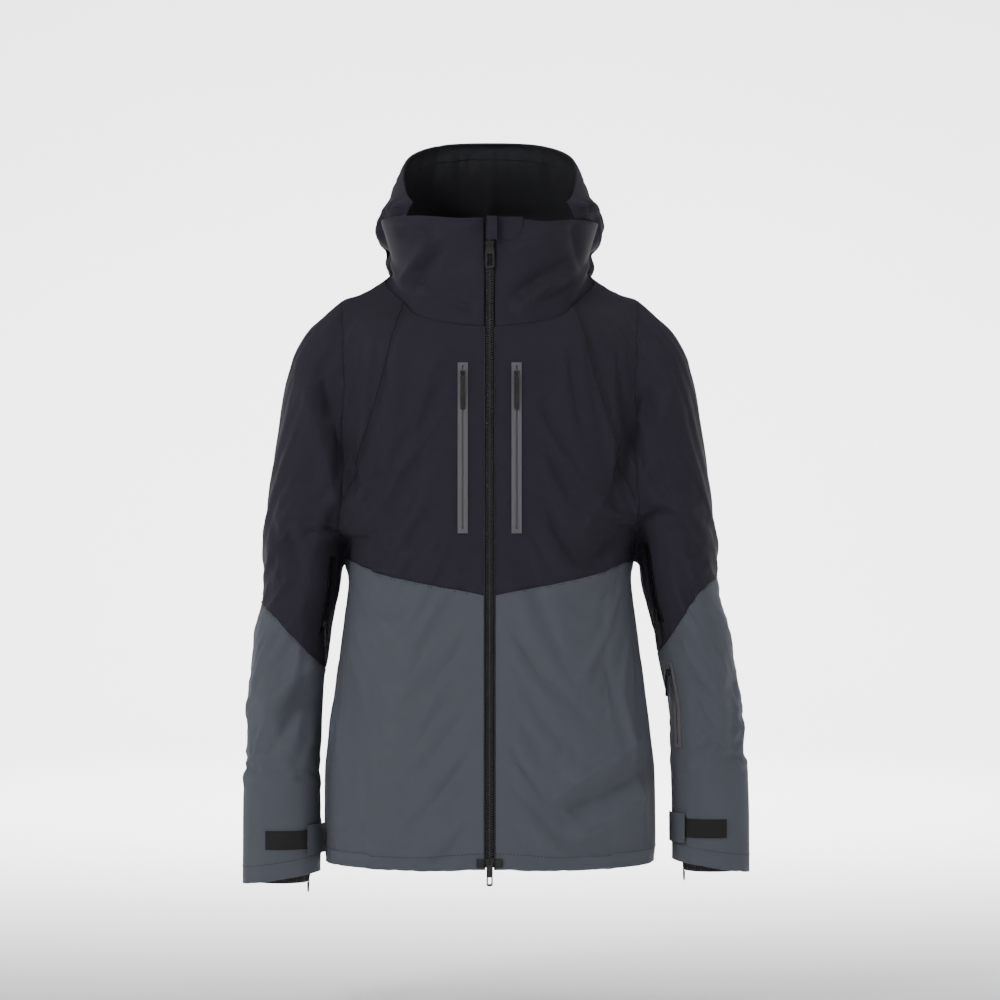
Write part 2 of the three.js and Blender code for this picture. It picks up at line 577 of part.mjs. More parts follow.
// The frame of a zip that runs down a surface: z up the zip, -y outwards, origin at its top.
// bulge is how far the surface rises above the straight line between the ends.
function zipLine(high, middle, low) {
  const up = high.at.clone().sub(low.at).normalize();
  const out = middle.out.clone().addScaledVector(up, -middle.out.dot(up)).normalize();
  const inwards = out.clone().negate();
  const across = new THREE.Vector3().crossVectors(inwards, up);
  const bulge = Math.max(0, middle.at.clone().sub(low.at).dot(out));
  const frame = new THREE.Matrix4().makeBasis(across, inwards, up).setPosition(high.at);
  return { frame, out, bulge, length: high.at.distanceTo(low.at) };
}

function sleeveZipLine(sections, top, bottom, towards) {
  const [high, middle, low] = [top, (top + bottom) / 2, bottom].map((z) => onSurface(sections, z, towards));
  return zipLine(high, middle, low);
}

// A small slider and its pull near the top of a zip line; its web runs in the slot of the welt below
function smallSlider(name, line, pull, drop) {
  const { width, length, plate, lug } = SMALL_SLIDER;
  const web = block([-WEB / 2, lug / 2 + plate - 0.5, -length * 0.4],
    [WEB / 2, lug / 2 + plate + RUN + FILM * 0.6, length * 0.2]);
  const lift = line.bulge + GAP + FILM + RUN + plate + lug / 2;
  const pin = new THREE.Vector3(0, -lift, -drop).applyMatrix4(line.frame);
  const slider = place(name('slider'), sliderTop(SMALL_SLIDER).add(web), PLASTIC);
  slider.applyMatrix4(line.frame.clone().setPosition(pin));
  hang(name('pull'), zipPull(SMALL_SLIDER, pull), pin, Math.atan2(line.out.x, -line.out.y));
}

function chestZips() {
  const top = CHEST_ZIP_BOTTOM + CHEST_ZIP_LENGTH;
  const outwards = new THREE.Vector3(0, -1, 0);
  for (const side of SIDES) {
    const x = side.sign * CHEST_ZIP_X;
    const half = WELT_WIDTH / 2;
    const strip = rectangle(x - half, CHEST_ZIP_BOTTOM, x + half, top);
    const slot = block([x - WELT_SLOT / 2, -FAR, CHEST_ZIP_BOTTOM + 6], [x + WELT_SLOT / 2, 0, top - 4]);
    const welt = layer(bodyForm, GAP, FILM).intersect(throughY(strip, -FAR, 0)).subtract(slot);
    place(`chest_welt_${side.name}`, welt, TRIM);

    const [low, high] = ordered(x - side.sign * half, x + side.sign * (POCKET_WIDTH - half));
    const bag = rectangle(low, CHEST_ZIP_BOTTOM - 6, high, CHEST_ZIP_BOTTOM - 6 + POCKET_DEPTH);
    const bagLayer = layer(bodyForm, -FABRIC - GAP - FILM * 2, FILM * 2);
    place(`chest_pocket_${side.name}`, bagLayer.intersect(throughY(bag, -FAR, 0)), LINING);

    const point = (z) => ({ at: new THREE.Vector3(x, CHEST_RECESS - frontDepth(z), z), out: outwards });
    smallSlider((piece) => `chest_${piece}_${side.name}`, zipLine(point(top), point((top + CHEST_ZIP_BOTTOM) / 2),
      point(CHEST_ZIP_BOTTOM)), CHEST_PULL, 14);
  }
}

// ---- Sleeves ------------------------------------------------------------------------------------------------

// Everything under a line that rises away from the body, through the point at x and height
function underSlope(side, x, height, slope) {
  const far = side.sign * FAR;
  const depth = -FAR * 2;
  return throughY(outline([
    [-far, depth], [far, depth], [far, height + slope * (FAR - x)], [-far, height - slope * (FAR + x)],
  ]));
}

function sleeve(side) {
  const sections = sleeveSections(side);
  const form = (grow) => loft(sections, 28, grow);
  const [low, high] = ordered(side.sign * (ARMHOLE_X + GAP), side.sign * FAR);
  const shell = between(form(0), form(-FABRIC)).intersect(block([low, -FAR, -FAR], [high, FAR, FAR * 2]))
    .subtract(underSlope(side, cuffX(side) + CUFF_HALF_WIDTH, side.cuffHeight, -CUFF_SLOPE));
  const seam = (lift) => underSlope(side, ARMHOLE_X + 32, side.colourSeam + lift, SLEEVE_SEAM_RISE);
  place(`sleeve_upper_${side.name}`, shell.subtract(seam(GAP)), BLACK);
  place(`sleeve_lower_${side.name}`, shell.intersect(seam(0)), GREY);
  return { sections, form };
}

// A slotted welt on the sleeve along a zip line
function sleeveWelt(form, line) {
  const half = WELT_WIDTH / 2;
  const strip = block([-half, -8, -line.length], [half, 12, 0], line.frame);
  const slot = block([-WELT_SLOT / 2, -12, -line.length + 5], [WELT_SLOT / 2, 14, -3], line.frame);
  return layer(form, GAP, FILM).intersect(strip).subtract(slot);
}

function vent(side, { sections, form }) {
  const line = sleeveZipLine(sections, side.colourSeam + VENT_RISE + VENT_LENGTH, side.colourSeam + VENT_RISE,
    [-side.sign * VENT_TOWARDS[0], -VENT_TOWARDS[1]]);
  place(`vent_welt_${side.name}`, sleeveWelt(form, line), BLACK);
  smallSlider((piece) => `vent_${piece}_${side.name}`, line, SMALL_PULL, VENT_LENGTH - 16);
}

function forearmZip(side, { sections, form }) {
  const top = side.colourSeam - FOREARM_ZIP_DROP;
  const line = sleeveZipLine(sections, top, top - FOREARM_ZIP_LENGTH,
    [-side.sign * VENT_TOWARDS[0], -VENT_TOWARDS[1]]);
  place(`forearm_welt_${side.name}`, sleeveWelt(form, line), TRIM);
  smallSlider((piece) => `forearm_${piece}_${side.name}`, line, SMALL_PULL, 12);
}

// Hook-and-loop patch on the front of the cuff, and the tab that closes over its inner end
function cuffStrap(side, { form }) {
  const strip = (from, to, low, high) => {
    const [x0, x1] = ordered(side.sign * (cuffX(side) + from), side.sign * (cuffX(side) + to));
    return throughY(rectangle(x0, side.cuffHeight + low, x1, side.cuffHeight + high), -FAR, -CUFF_FORWARD - 4);
  };
  const tabEnd = -CUFF_HALF_WIDTH + TAB_REACH - 10;
  const patchLow = TAB_LOW + (TAB_HEIGHT - PATCH_HEIGHT) / 2;
  place(`cuff_patch_${side.name}`, layer(form, GAP, FILM)
    .intersect(strip(tabEnd - 9, tabEnd + PATCH_LENGTH, patchLow, patchLow + PATCH_HEIGHT)), HOOK);
  place(`cuff_tab_${side.name}`, layer(form, GAP * 2 + FILM + 0.2, FILM + 0.5)
    .intersect(strip(-FAR, tabEnd, TAB_LOW, TAB_LOW + TAB_HEIGHT)), GREY);
}

// A snug knitted cuff sewn inside the sleeve, and the thumb loop on its lower edge
function gaiter(side, { sections }) {
  const cuff = sections[1];
  const top = side.cuffHeight + GAITER_LENGTH;
  const bottom = side.cuffHeight + 2;
  const sewn = -FABRIC - GAP;
  const ring = (z, half, depth) => ({ ...cuff, z, half, front: depth, back: depth });
  const steep = (top - bottom) * 0.2;
  const rings = [
    ring(bottom, GAITER_HALF_WIDTH, GAITER_HALF_DEPTH),
    ring(top - steep * 2, GAITER_HALF_WIDTH + 4, GAITER_HALF_DEPTH + 3),
    ring(top - 6, cuff.half + sewn - 2, sections[0].front + sewn - 1),
    ring(top, cuff.half + sewn, sections[0].front + sewn),
  ];
  const grown = (extra, reach) => loft([{ ...rings[0], z: bottom - reach }, rings[1], rings[2],
    { ...rings[3], z: top + reach }], 24, extra);
  place(`wrist_gaiter_${side.name}`, grown(0, 0).subtract(grown(-FILM, 1)), LINING);

  const inner = cuff.x - side.sign * (GAITER_HALF_WIDTH - FILM / 2);
  const [x0, x1] = ordered(inner - side.sign * FILM / 2, inner + side.sign * FILM / 2);
  const half = LOOP_WIDTH / 2;
  const arch = new THREE.Shape();
  const high = bottom - GAP;
  arch.moveTo(cuff.y - half, high);
  arch.lineTo(cuff.y - half, high - 2);
  arch.quadraticCurveTo(cuff.y - half, high - LOOP_DROP, cuff.y, high - LOOP_DROP);
  arch.quadraticCurveTo(cuff.y + half, high - LOOP_DROP, cuff.y + half, high - 2);
  arch.lineTo(cuff.y + half, high);
  arch.lineTo(cuff.y + half - LOOP_BAND, high);
  arch.quadraticCurveTo(cuff.y + half - LOOP_BAND, high - LOOP_DROP + LOOP_BAND * 0.6, cuff.y,
    high - LOOP_DROP + LOOP_BAND * 0.6);
  arch.quadraticCurveTo(cuff.y - half + LOOP_BAND, high - LOOP_DROP + LOOP_BAND * 0.6,
    cuff.y - half + LOOP_BAND, high);
  place(`thumb_loop_${side.name}`, throughX(arch, x0, x1), LINING);
}

// ---- Inside -------------------------------------------------------------------------------------------------

// An elastic skirt sewn round the inside above the hem, open at the front
function powderSkirt() {
  const taper = (z) => {
    const down = THREE.MathUtils.clamp((SKIRT_TOP - z) / SKIRT_LENGTH, 0, 1);
    return -FABRIC - GAP - SKIRT_TAPER * down ** 0.7;
  };
  const count = 3;
  const rings = (reach) => Array.from({ length: count + 1 }, (_, i) => {
    const past = { 0: -reach, [count]: reach }[i] ?? 0;
    const section = bodySectionAt(SKIRT_TOP - (SKIRT_LENGTH * (count - i)) / count);
    return { ...section, z: section.z + past };
  });
  const outer = loft(rings(0), 40, taper);
  const inner = loft(rings(1), 40, (z) => taper(z) - FILM);
  const opening = block([-SKIRT_HALF_OPENING, -FAR, 0], [SKIRT_HALF_OPENING, 0, SKIRT_TOP + 1]);
  place('powder_skirt', outer.subtract(inner).subtract(opening).intersect(bodyForm(-FABRIC - GAP)), LINING);
}

// A ribbon to hang the jacket by, sewn flat to the inside of the collar's back
function hangerLoop() {
  const half = HANGER_WIDTH / 2;
  const low = NECK_HEIGHT + 3;
  const corner = 8;
  const inner = low + HANGER_BAND;
  const ribbon = outline([
    [-half, low + HANGER_DROP], [-half, low + corner], [-half + corner, low], [half - corner, low],
    [half, low + corner], [half, low + HANGER_DROP], [half - HANGER_BAND, low + HANGER_DROP],
    [half - HANGER_BAND, inner + 4], [half - HANGER_BAND - 4, inner], [-half + HANGER_BAND + 4, inner],
    [-half + HANGER_BAND, inner + 4], [-half + HANGER_BAND, low + HANGER_DROP],
  ]);
  const flat = layer(collarForm, -FABRIC - GAP - FILM, FILM);
  place('hanger_loop', flat.intersect(throughY(ribbon, 0, FAR)), LINING);
}

bodyPanels();
collarHalves();
hood();
frontZip();
frontSliders();
chinGuard();
chestZips();
powderSkirt();
hangerLoop();
for (const side of SIDES) {
  const arm = sleeve(side);
  vent(side, arm);
  cuffStrap(side, arm);
  gaiter(side, arm);
  if (side.name === 'left') forearmZip(side, arm);
}
jacket.position.z = -ORIGIN_HEIGHT;

export default jacket;
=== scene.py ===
"""The hooded ski shell jacket's visible pieces, laid out as a Blender add-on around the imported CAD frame."""
import math

import bmesh
import bpy
import numpy as np
from bpy.props import FloatProperty, FloatVectorProperty, IntProperty, PointerProperty
from mathutils import Matrix, Vector
from mathutils.bvhtree import BVHTree


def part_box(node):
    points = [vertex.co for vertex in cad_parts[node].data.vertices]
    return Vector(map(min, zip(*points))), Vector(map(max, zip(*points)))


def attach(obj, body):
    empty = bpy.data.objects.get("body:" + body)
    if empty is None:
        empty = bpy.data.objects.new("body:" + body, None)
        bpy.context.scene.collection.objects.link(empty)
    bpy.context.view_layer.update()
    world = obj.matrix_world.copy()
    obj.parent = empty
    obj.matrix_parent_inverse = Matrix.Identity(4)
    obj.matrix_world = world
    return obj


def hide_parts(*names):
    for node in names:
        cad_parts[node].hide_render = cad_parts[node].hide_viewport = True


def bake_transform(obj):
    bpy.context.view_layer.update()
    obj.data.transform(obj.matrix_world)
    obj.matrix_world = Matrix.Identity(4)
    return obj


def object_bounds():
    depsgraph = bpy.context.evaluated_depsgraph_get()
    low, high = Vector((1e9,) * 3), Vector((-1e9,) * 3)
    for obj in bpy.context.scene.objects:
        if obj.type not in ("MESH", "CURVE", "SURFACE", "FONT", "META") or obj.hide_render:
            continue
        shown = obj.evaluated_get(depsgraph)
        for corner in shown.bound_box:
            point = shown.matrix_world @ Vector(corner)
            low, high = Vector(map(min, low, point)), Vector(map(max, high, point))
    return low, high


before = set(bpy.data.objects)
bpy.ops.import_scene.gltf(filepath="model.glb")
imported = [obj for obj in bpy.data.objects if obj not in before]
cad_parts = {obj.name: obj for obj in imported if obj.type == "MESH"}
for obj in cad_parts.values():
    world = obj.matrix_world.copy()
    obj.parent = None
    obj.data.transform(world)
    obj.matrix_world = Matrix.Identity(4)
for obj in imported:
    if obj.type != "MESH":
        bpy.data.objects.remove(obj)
CAD_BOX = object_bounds()

bl_info = {
    "name": "Ski Jacket",
    "version": (1, 0, 0),
    "blender": (4, 5, 0),
    "location": "View3D > Sidebar > Ski Jacket",
    "description": "Builds a hooded ski shell jacket around its CAD frame",
    "category": "Add Mesh",
}

# Driving sizes in metres, in the frame of the CAD model: z = 0 is the neck seam at the sides of the neck
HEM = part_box("back_lower")[0].z
COLLAR_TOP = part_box("collar_left")[1].z
SIDE_SEAM_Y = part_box("front_lower_left")[1].y
ZIP_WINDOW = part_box("front_lower_left")[0].x
ARMHOLE_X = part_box("front_upper_left")[1].x
FRONT_LEAN = 0.05
NECK_SLOPE = 0.69
COLOUR_SEAM_Z = -0.415
COLOUR_SEAM_RISE = 0.24
SHELL = 0.0016
CROTCH_Z = -0.332
SPREAD = 0.022
GROOVE = 0.0007
TOPSTITCH = 0.0022
TAPE_HALF_WIDTH = 0.0065
HEM_TURNING = 0.020
CUFF_TURNING = 0.022
SLIDER_WAY = 0.026

SIDES = [
    {"name": "right", "sign": -1, "elbow_x": 0.268, "cuff_x": 0.270, "cuff_z": -0.787, "seam_z": -0.501},
    {"name": "left", "sign": 1, "elbow_x": 0.280, "cuff_x": 0.286, "cuff_z": -0.772, "seam_z": -0.483},
]
# how far each vent's slider runs from where it is parked
VENT_WAY = {"right": Vector((0.0115, -0.0022, 0.0741)), "left": Vector((-0.0162, -0.0019, 0.0732))}
CUFF_HALF_WIDTH = 0.051
CUFF_SLOPE = 0.16
SLEEVE_SEAM_RISE = {"right": 1.15, "left": 1.65}
SLEEVE_SEAM_X = 0.222

made = {}


# ---- Small helpers ------------------------------------------------------------------------------------------

def smooth(low, high, x):
    t = np.clip((x - low) / (high - low), 0, 1)
    return t * t * (3 - 2 * t)


def coordinates(mesh):
    co = np.zeros(len(mesh.vertices) * 3)
    mesh.vertices.foreach_get("co", co)
    return co.reshape(-1, 3)


def normals(mesh):
    n = np.zeros(len(mesh.vertices) * 3)
    mesh.vertices.foreach_get("normal", n)
    return n.reshape(-1, 3)


def set_coordinates(mesh, co):
    mesh.vertices.foreach_set("co", np.asarray(co, float).ravel())
    mesh.update()


def new_object(name, bm, shade_smooth=True):
    mesh = bpy.data.meshes.new(name)
    bm.to_mesh(mesh)
    bm.free()
    if shade_smooth:
        mesh.polygons.foreach_set("use_smooth", [True] * len(mesh.polygons))
    obj = bpy.data.objects.new(name, mesh)
    bpy.context.scene.collection.objects.link(obj)
    return obj


def applied(obj):
    """Makes the object's modifiers part of its mesh."""
    evaluated = obj.evaluated_get(bpy.context.evaluated_depsgraph_get())
    mesh = bpy.data.meshes.new_from_object(evaluated)
    obj.modifiers.clear()
    obj.data = mesh
    return obj


def modify(obj, kind, **settings):
    modifier = obj.modifiers.new(kind.title(), kind)
    for key, value in settings.items():
        setattr(modifier, key, value)
    return modifier


def subdivide(obj, levels=1):
    modify(obj, "SUBSURF", levels=levels, render_levels=levels)
    return applied(obj)


def finish(obj, body, look, replaces=(), inside=None):
    obj.data.materials.clear()
    obj.data.materials.append(bpy.data.materials[look])
    if inside:
        obj.data.materials.append(bpy.data.materials[inside])
    if body:
        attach(obj, body)
    if replaces:
        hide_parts(*replaces)
    return obj


def surface(columns, rows, place, closed=False):
    """A grid whose points are placed by a function of (u, v), each from 0 to 1."""
    bm = bmesh.new()
    bmesh.ops.create_grid(bm, x_segments=columns, y_segments=rows, size=0.5)
    for vert in bm.verts:
        vert.co = place(vert.co.x + 0.5, vert.co.y + 0.5)
    if closed:
        bmesh.ops.remove_doubles(bm, verts=bm.verts, dist=1e-6)
    return bm


def add(whole, bm, places=(Matrix.Identity(4),)):
    """Adds a copy of the second mesh to the first at each place, and frees the second."""
    mesh = bpy.data.meshes.new("part")
    bm.to_mesh(mesh)
    bm.free()
    for place in places:
        first = len(whole.verts)
        whole.from_mesh(mesh)
        whole.verts.ensure_lookup_table()
        for v in whole.verts[first:]:
            v.co = place @ v.co
    bpy.data.meshes.remove(mesh)


def smoothed(bm, verts, times):
    for _ in range(times):
        bmesh.ops.smooth_vert(bm, verts=verts, factor=0.5, use_axis_x=True, use_axis_y=True, use_axis_z=True)


def from_object(obj):
    bm = bmesh.new()
    bm.from_mesh(obj.data)
    return bm


def section_at(sections, z):
    """A section of a lofted form at a height: x, y, half width, front depth, back depth, squareness."""
    heights = [s[0] for s in sections]
    return [float(np.interp(z, heights, [s[k] for s in sections])) for k in range(1, 7)]


def on_section(section, angle, grow=0.0):
    """The point of a section at an angle from the front, turning towards the wearer's left."""
    x, y, half, front, back, square = section
    power = 2 / square
    s, c = math.sin(angle), math.cos(angle)
    depth = front if c > 0 else back
    across = math.copysign(abs(s) ** power, s)
    along = -math.copysign(abs(c) ** power, c)
    return x + (half + grow) * across, y + (depth + grow) * along


def lofted(sections, columns, step=0.012):
    """A closed form through sections, given from the lowest to the highest."""
    low, high = sections[0][0], sections[-1][0]
    rows = max(4, round((high - low) / step))

    def place(u, v):
        z = low + (high - low) * v
        x, y = on_section(section_at(sections, z), 2 * math.pi * u)
        return Vector((x, y, z))

    bm = surface(columns, rows, place, closed=True)
    bmesh.ops.holes_fill(bm, edges=[e for e in bm.edges if e.is_boundary], sides=0)
    bmesh.ops.recalc_face_normals(bm, faces=bm.faces)
    return bm


def front_depth(z):
    return 0.10215 - FRONT_LEAN * z


def body_section(z, half, back, square):
    return (z, 0, 0, half, front_depth(z), back, square)


BODY = [
    body_section(HEM - 0.04, 0.214, 0.135, 2.5),
    body_section(-0.631, 0.212, 0.138, 2.5),
    body_section(-0.499, 0.1965, 0.141, 2.5),
    body_section(-0.404, 0.184, 0.146, 2.5),
    body_section(-0.349, 0.181, 0.149, 2.5),
    body_section(-0.304, 0.196, 0.150, 2.5),
    body_section(-0.257, 0.204, 0.150, 2.5),
    body_section(-0.154, 0.222, 0.143, 2.4),
    body_section(-0.102, 0.224, 0.1305, 2.3),
    body_section(-0.067, 0.212, 0.1175, 1.75),
    body_section(-0.042, 0.193, 0.105, 1.2),
    body_section(-0.024, 0.170, 0.099, 1.1),
    body_section(-0.009, 0.142, 0.096, 1.3),
    body_section(0.002, 0.121, 0.095, 2.1),
    body_section(0.020, 0.118, 0.095, 2.2),
]
COLLAR = [
    body_section(-0.093, 0.125, 0.095, 2.2),
    body_section(0.0, 0.121, 0.095, 2.2),
    body_section(0.033, 0.131, 0.102, 2.2),
    body_section(COLLAR_TOP, 0.141, 0.106, 2.2),
    body_section(COLLAR_TOP + 0.02, 0.141, 0.106, 2.2),
]


def hood_section(z, half, front, back):
    middle = (front + back) / 2
    return (z, 0, middle, half, back - middle, back - middle, 2.3)


HOOD = [
    hood_section(-0.030, 0.069, 0.117, 0.162),
    hood_section(-0.010, 0.113, 0.080, 0.176),
    hood_section(0.010, 0.137, 0.015, 0.186),
    hood_section(0.035, 0.146, -0.040, 0.190),
    hood_section(0.066, 0.149, -0.072, 0.192),
    hood_section(0.093, 0.149, -0.072, 0.188),
    hood_section(0.124, 0.137, -0.050, 0.174),
    hood_section(0.158, 0.118, -0.018, 0.156),
    hood_section(0.188, 0.096, 0.018, 0.140),
]
RIM_START = Vector((0, -0.072, 0.066))
RIM_END = Vector((0, 0.138, 0.188))
BRIM = 0.022


def sleeve_sections(side, spread=0.0):
    """The sleeve's sections from the cuff up. spread holds it off the body below the underarm."""
    elbow, cuff = side["elbow_x"], side["cuff_x"]
    rows = [
        (side["cuff_z"] - 0.06, cuff, -0.022, 0.051, 0.044),
        (-0.683, cuff - 0.001, -0.022, 0.051, 0.047),
        (-0.618, (cuff + elbow) / 2, -0.011, 0.0505, 0.054),
        (-0.553, elbow, 0.0, 0.050, 0.060),
        (-0.451, (elbow + 0.229) / 2 + 0.008, 0.003, 0.0505, 0.073),
        (-0.349, 0.242, 0.004, 0.053, 0.079),
        (-0.257, 0.229, 0.005, 0.057, 0.084),
        (-0.147, 0.215, 0.005, 0.055, 0.082),
        (-0.102, 0.206, 0.004, 0.053, 0.066),
        (-0.067, 0.193, 0.003, 0.046, 0.048),
        (-0.042, 0.175, 0.002, 0.032, 0.028),
        (-0.029, 0.160, 0.002, 0.031, 0.018),
    ]
    held_off = [(x + spread * float(spread_share(z))) * side["sign"] for z, x, *_ in rows]
    return [(z, hx, y, half, depth, depth, 2.1) for (z, _, y, half, depth), hx in zip(rows, held_off)]


def spread_share(z):
    return smooth(CROTCH_Z, CROTCH_Z - 0.1, z)


def divide_x(z):
    """Distance from the centre that divides body from sleeve, on the pattern: the armhole, then the gap below it."""
    inner = [-0.8, -0.683, -0.553, -0.451, -0.349, CROTCH_Z]
    reach = [0.2265, 0.2265, 0.2205, 0.2085, 0.1865, 0.1875]
    return np.where(z > CROTCH_Z, ARMHOLE_X, np.interp(z, inner, reach))


# ---- Finishes -----------------------------------------------------------------------------------------------

class Value:
    """A number that varies over a surface. Its operators add Math nodes."""

    def __init__(self, shader, socket):
        self.shader = shader
        self.socket = socket

    def math(self, operation, *others):
        return self.shader.add("ShaderNodeMath", {"operation": operation}, [self, *others])

    def __add__(self, other):
        return self.math("ADD", other)

    __radd__ = __add__

    def __mul__(self, other):
        return self.math("MULTIPLY", other)

    __rmul__ = __mul__

    def __sub__(self, other):
        return self.math("SUBTRACT", other)

    def __rsub__(self, other):
        return self.shader.add("ShaderNodeMath", {"operation": "SUBTRACT"}, [other, self])


class Shader:
    """A material whose nodes are added one at a time."""

    def __init__(self, name):
        self.material = bpy.data.materials.new(name)
        self.material.use_nodes = True
        self.nodes = self.material.node_tree.nodes
        self.links = self.material.node_tree.links
        self.surface = self.nodes["Principled BSDF"]
        self.place = self.add("ShaderNodeTexCoord", {}, [], "Object")

    def add(self, kind, settings, inputs, output=0):
        """A node of a type, with its settings and the values or links of its sockets."""
        node = self.nodes.new(kind)
        for key, value in settings.items():
            setattr(node, key, value)
        pairs = inputs.items() if isinstance(inputs, dict) else enumerate(inputs)
        for key, value in pairs:
            if isinstance(value, Value):
                self.links.new(value.socket, node.inputs[key])
            else:
                node.inputs[key].default_value = value
        return Value(self, node.outputs[output])

    def noise(self, scale, detail=3.0, roughness=0.5, stretch=(1, 1, 1)):
        place = self.add("ShaderNodeMapping", {}, {"Vector": self.place, "Scale": stretch})
        return self.add("ShaderNodeTexNoise", {}, {
            "Vector": place, "Scale": scale, "Detail": detail, "Roughness": roughness})

    def axis(self, name):
        return self.add("ShaderNodeSeparateXYZ", {}, [self.place], name)

    def mix(self, amount, low, high):
        node = self.nodes.new("ShaderNodeMix")
        node.data_type = "RGBA"
        self.feed(node.inputs[0], amount)
        self.feed(node.inputs[6], low)
        self.feed(node.inputs[7], high)
        return Value(self, node.outputs[2])

    def feed(self, socket, value):
        if isinstance(value, Value):
            self.links.new(value.socket, socket)
        else:
            socket.default_value = value

    def ramp(self, value, low, high):
        """0 below low, 1 above high."""
        return self.add("ShaderNodeMapRange", {"interpolation_type": "SMOOTHSTEP"}, {
            "Value": value, "From Min": low, "From Max": high})

    def set(self, **sockets):
        for key, value in sockets.items():
            self.feed(self.surface.inputs[key.replace("_", " ")], value)

    def bump(self, height, distance, strength=1.0):
        normal = self.add("ShaderNodeBump", {}, {
            "Strength": strength, "Distance": distance, "Height": height})
        self.links.new(normal.socket, self.surface.inputs["Normal"])


def rgba(colour, factor=1.0):
    return (*[min(1.0, c * factor) for c in colour], 1.0)


def woven(name, colour, roughness, pitch, sheen, soft=0.0):
    """Plain-woven cloth: crossing threads with slubs, and a colour that drifts a little."""
    shader = Shader(name)
    turn = 2 * math.pi / pitch
    warp = ((shader.axis("X") + shader.axis("Y") * 0.83) * turn).math("SINE")
    weft = (shader.axis("Z") * turn).math("SINE")
    threads = (warp * weft) * 0.5 + 0.5
    slub = shader.noise(260, 4.0, 0.6, (1, 1, 0.12))
    cross_slub = shader.noise(260, 4.0, 0.6, (0.12, 0.12, 1))
    drift = shader.noise(9, 3.0)
    grain = shader.noise(1500, 2.0)
    body = (slub + cross_slub) * 0.35 + threads * 0.18 + grain * 0.12
    tint = shader.ramp(body, 0.25, 0.75)
    light = shader.mix(tint, rgba(colour, 0.80), rgba(colour, 1.22))
    shade = shader.mix(shader.ramp(drift, 0.3, 0.7), rgba(colour, 0.86), rgba(colour, 1.12))
    shader.set(Base_Color=shader.mix(0.45, light, shade), Roughness=body * 0.18 + (roughness - 0.09))
    shader.set(Sheen_Weight=sheen, Sheen_Roughness=0.45, Specular_IOR_Level=0.09)
    crumple = shader.noise(38, 5.0, 0.62)
    shader.bump(threads * 0.35 + slub * 0.3 + cross_slub * 0.3 + crumple * (1.5 + soft), 0.00045, 0.8)
    return shader.material


def knitted(name, colour, pitch):
    """A stretch knit with fine upright ribs."""
    shader = Shader(name)
    angle = shader.axis("X").math("ARCTAN2", shader.axis("Y"))
    rib = (shader.axis("X") + shader.axis("Y")) * (2 * math.pi / pitch)
    ribs = rib.math("SINE") * 0.5 + 0.5
    loops = (shader.axis("Z") * (2 * math.pi / (pitch * 0.8)) + angle).math("SINE") * 0.5 + 0.5
    body = ribs * 0.6 + loops * 0.4
    shader.set(Base_Color=shader.mix(body, rgba(colour, 0.6), rgba(colour, 1.3)), Roughness=0.9 - body * 0.1)
    shader.set(Sheen_Weight=0.25)
    shader.bump(body, 0.0005, 0.9)
    return shader.material


def moulded(name, colour, roughness, grain=900, wear=0.5):
    """Injection-moulded plastic: a fine spark-eroded grain and edges rubbed lighter."""
    shader = Shader(name)
    fine = shader.noise(grain, 3.0)
    cloud = shader.noise(70, 3.0)
    edge = shader.add("ShaderNodeNewGeometry", {}, [], "Pointiness")
    rubbed = shader.ramp(edge, 0.52, 0.60) * wear
    base = shader.mix(shader.ramp(cloud, 0.3, 0.7), rgba(colour, 0.85), rgba(colour, 1.15))
    shader.set(Base_Color=shader.mix(rubbed, base, rgba(colour, 2.4)))
    shader.set(Roughness=fine * 0.16 + cloud * 0.1 + (roughness - 0.13))
    shader.set(Specular_IOR_Level=0.5)
    shader.bump(fine, 0.00008, 0.6)
    return shader.material


def toothed(name, colour, worn):
    """Zip teeth: dark moulded plastic, with a painted highlight on the heads that interlock down the middle."""
    shader = Shader(name)
    fine = shader.noise(1500, 3.0)
    # Painted highlight: the band of heads down the middle is mixed towards the pale colour given as the third
    # argument, where light glints on the real dark teeth.
    highlight_band = 1 - shader.ramp(shader.axis("X").math("ABSOLUTE"), 0.0013, 0.0022)
    pale = highlight_band * shader.ramp(fine, 0.2, 0.9)
    shader.set(Base_Color=shader.mix(pale, rgba(colour, 0.9), rgba(worn, 1.3)), Roughness=fine * 0.16 + 0.24)
    shader.bump(fine, 0.00008, 0.6)
    return shader.material


def film(name, colour):
    """Welded polyurethane film: smooth and satin, with the cloth's threads just showing through."""
    shader = Shader(name)
    turn = 2 * math.pi / 0.0011
    threads = (shader.axis("X") * turn).math("SINE") * (shader.axis("Z") * turn).math("SINE")
    cloud = shader.noise(120, 4.0)
    shader.set(Base_Color=shader.mix(shader.ramp(cloud, 0.3, 0.7), rgba(colour, 0.9), rgba(colour, 1.1)))
    shader.set(Roughness=cloud * 0.2 + 0.36)
    shader.bump(threads * 0.3 + cloud, 0.00012, 0.7)
    return shader.material


def hooked(name, colour):
    """Hook-and-loop strip: a field of tiny hooks in rows."""
    shader = Shader(name)
    cells = shader.add("ShaderNodeTexVoronoi", {"feature": "F1"}, {
        "Vector": shader.place, "Scale": 720.0, "Randomness": 0.35}, "Distance")
    fuzz = shader.noise(1900, 4.0, 0.7)
    body = shader.ramp(cells, 0.1, 0.6) * 0.7 + fuzz * 0.3
    shader.set(Base_Color=shader.mix(body, rgba(colour, 1.7), rgba(colour, 0.45)), Roughness=0.86 + fuzz * 0.1)
    shader.set(Sheen_Weight=0.2)
    shader.bump(1 - body, 0.0008, 1.0)
    return shader.material


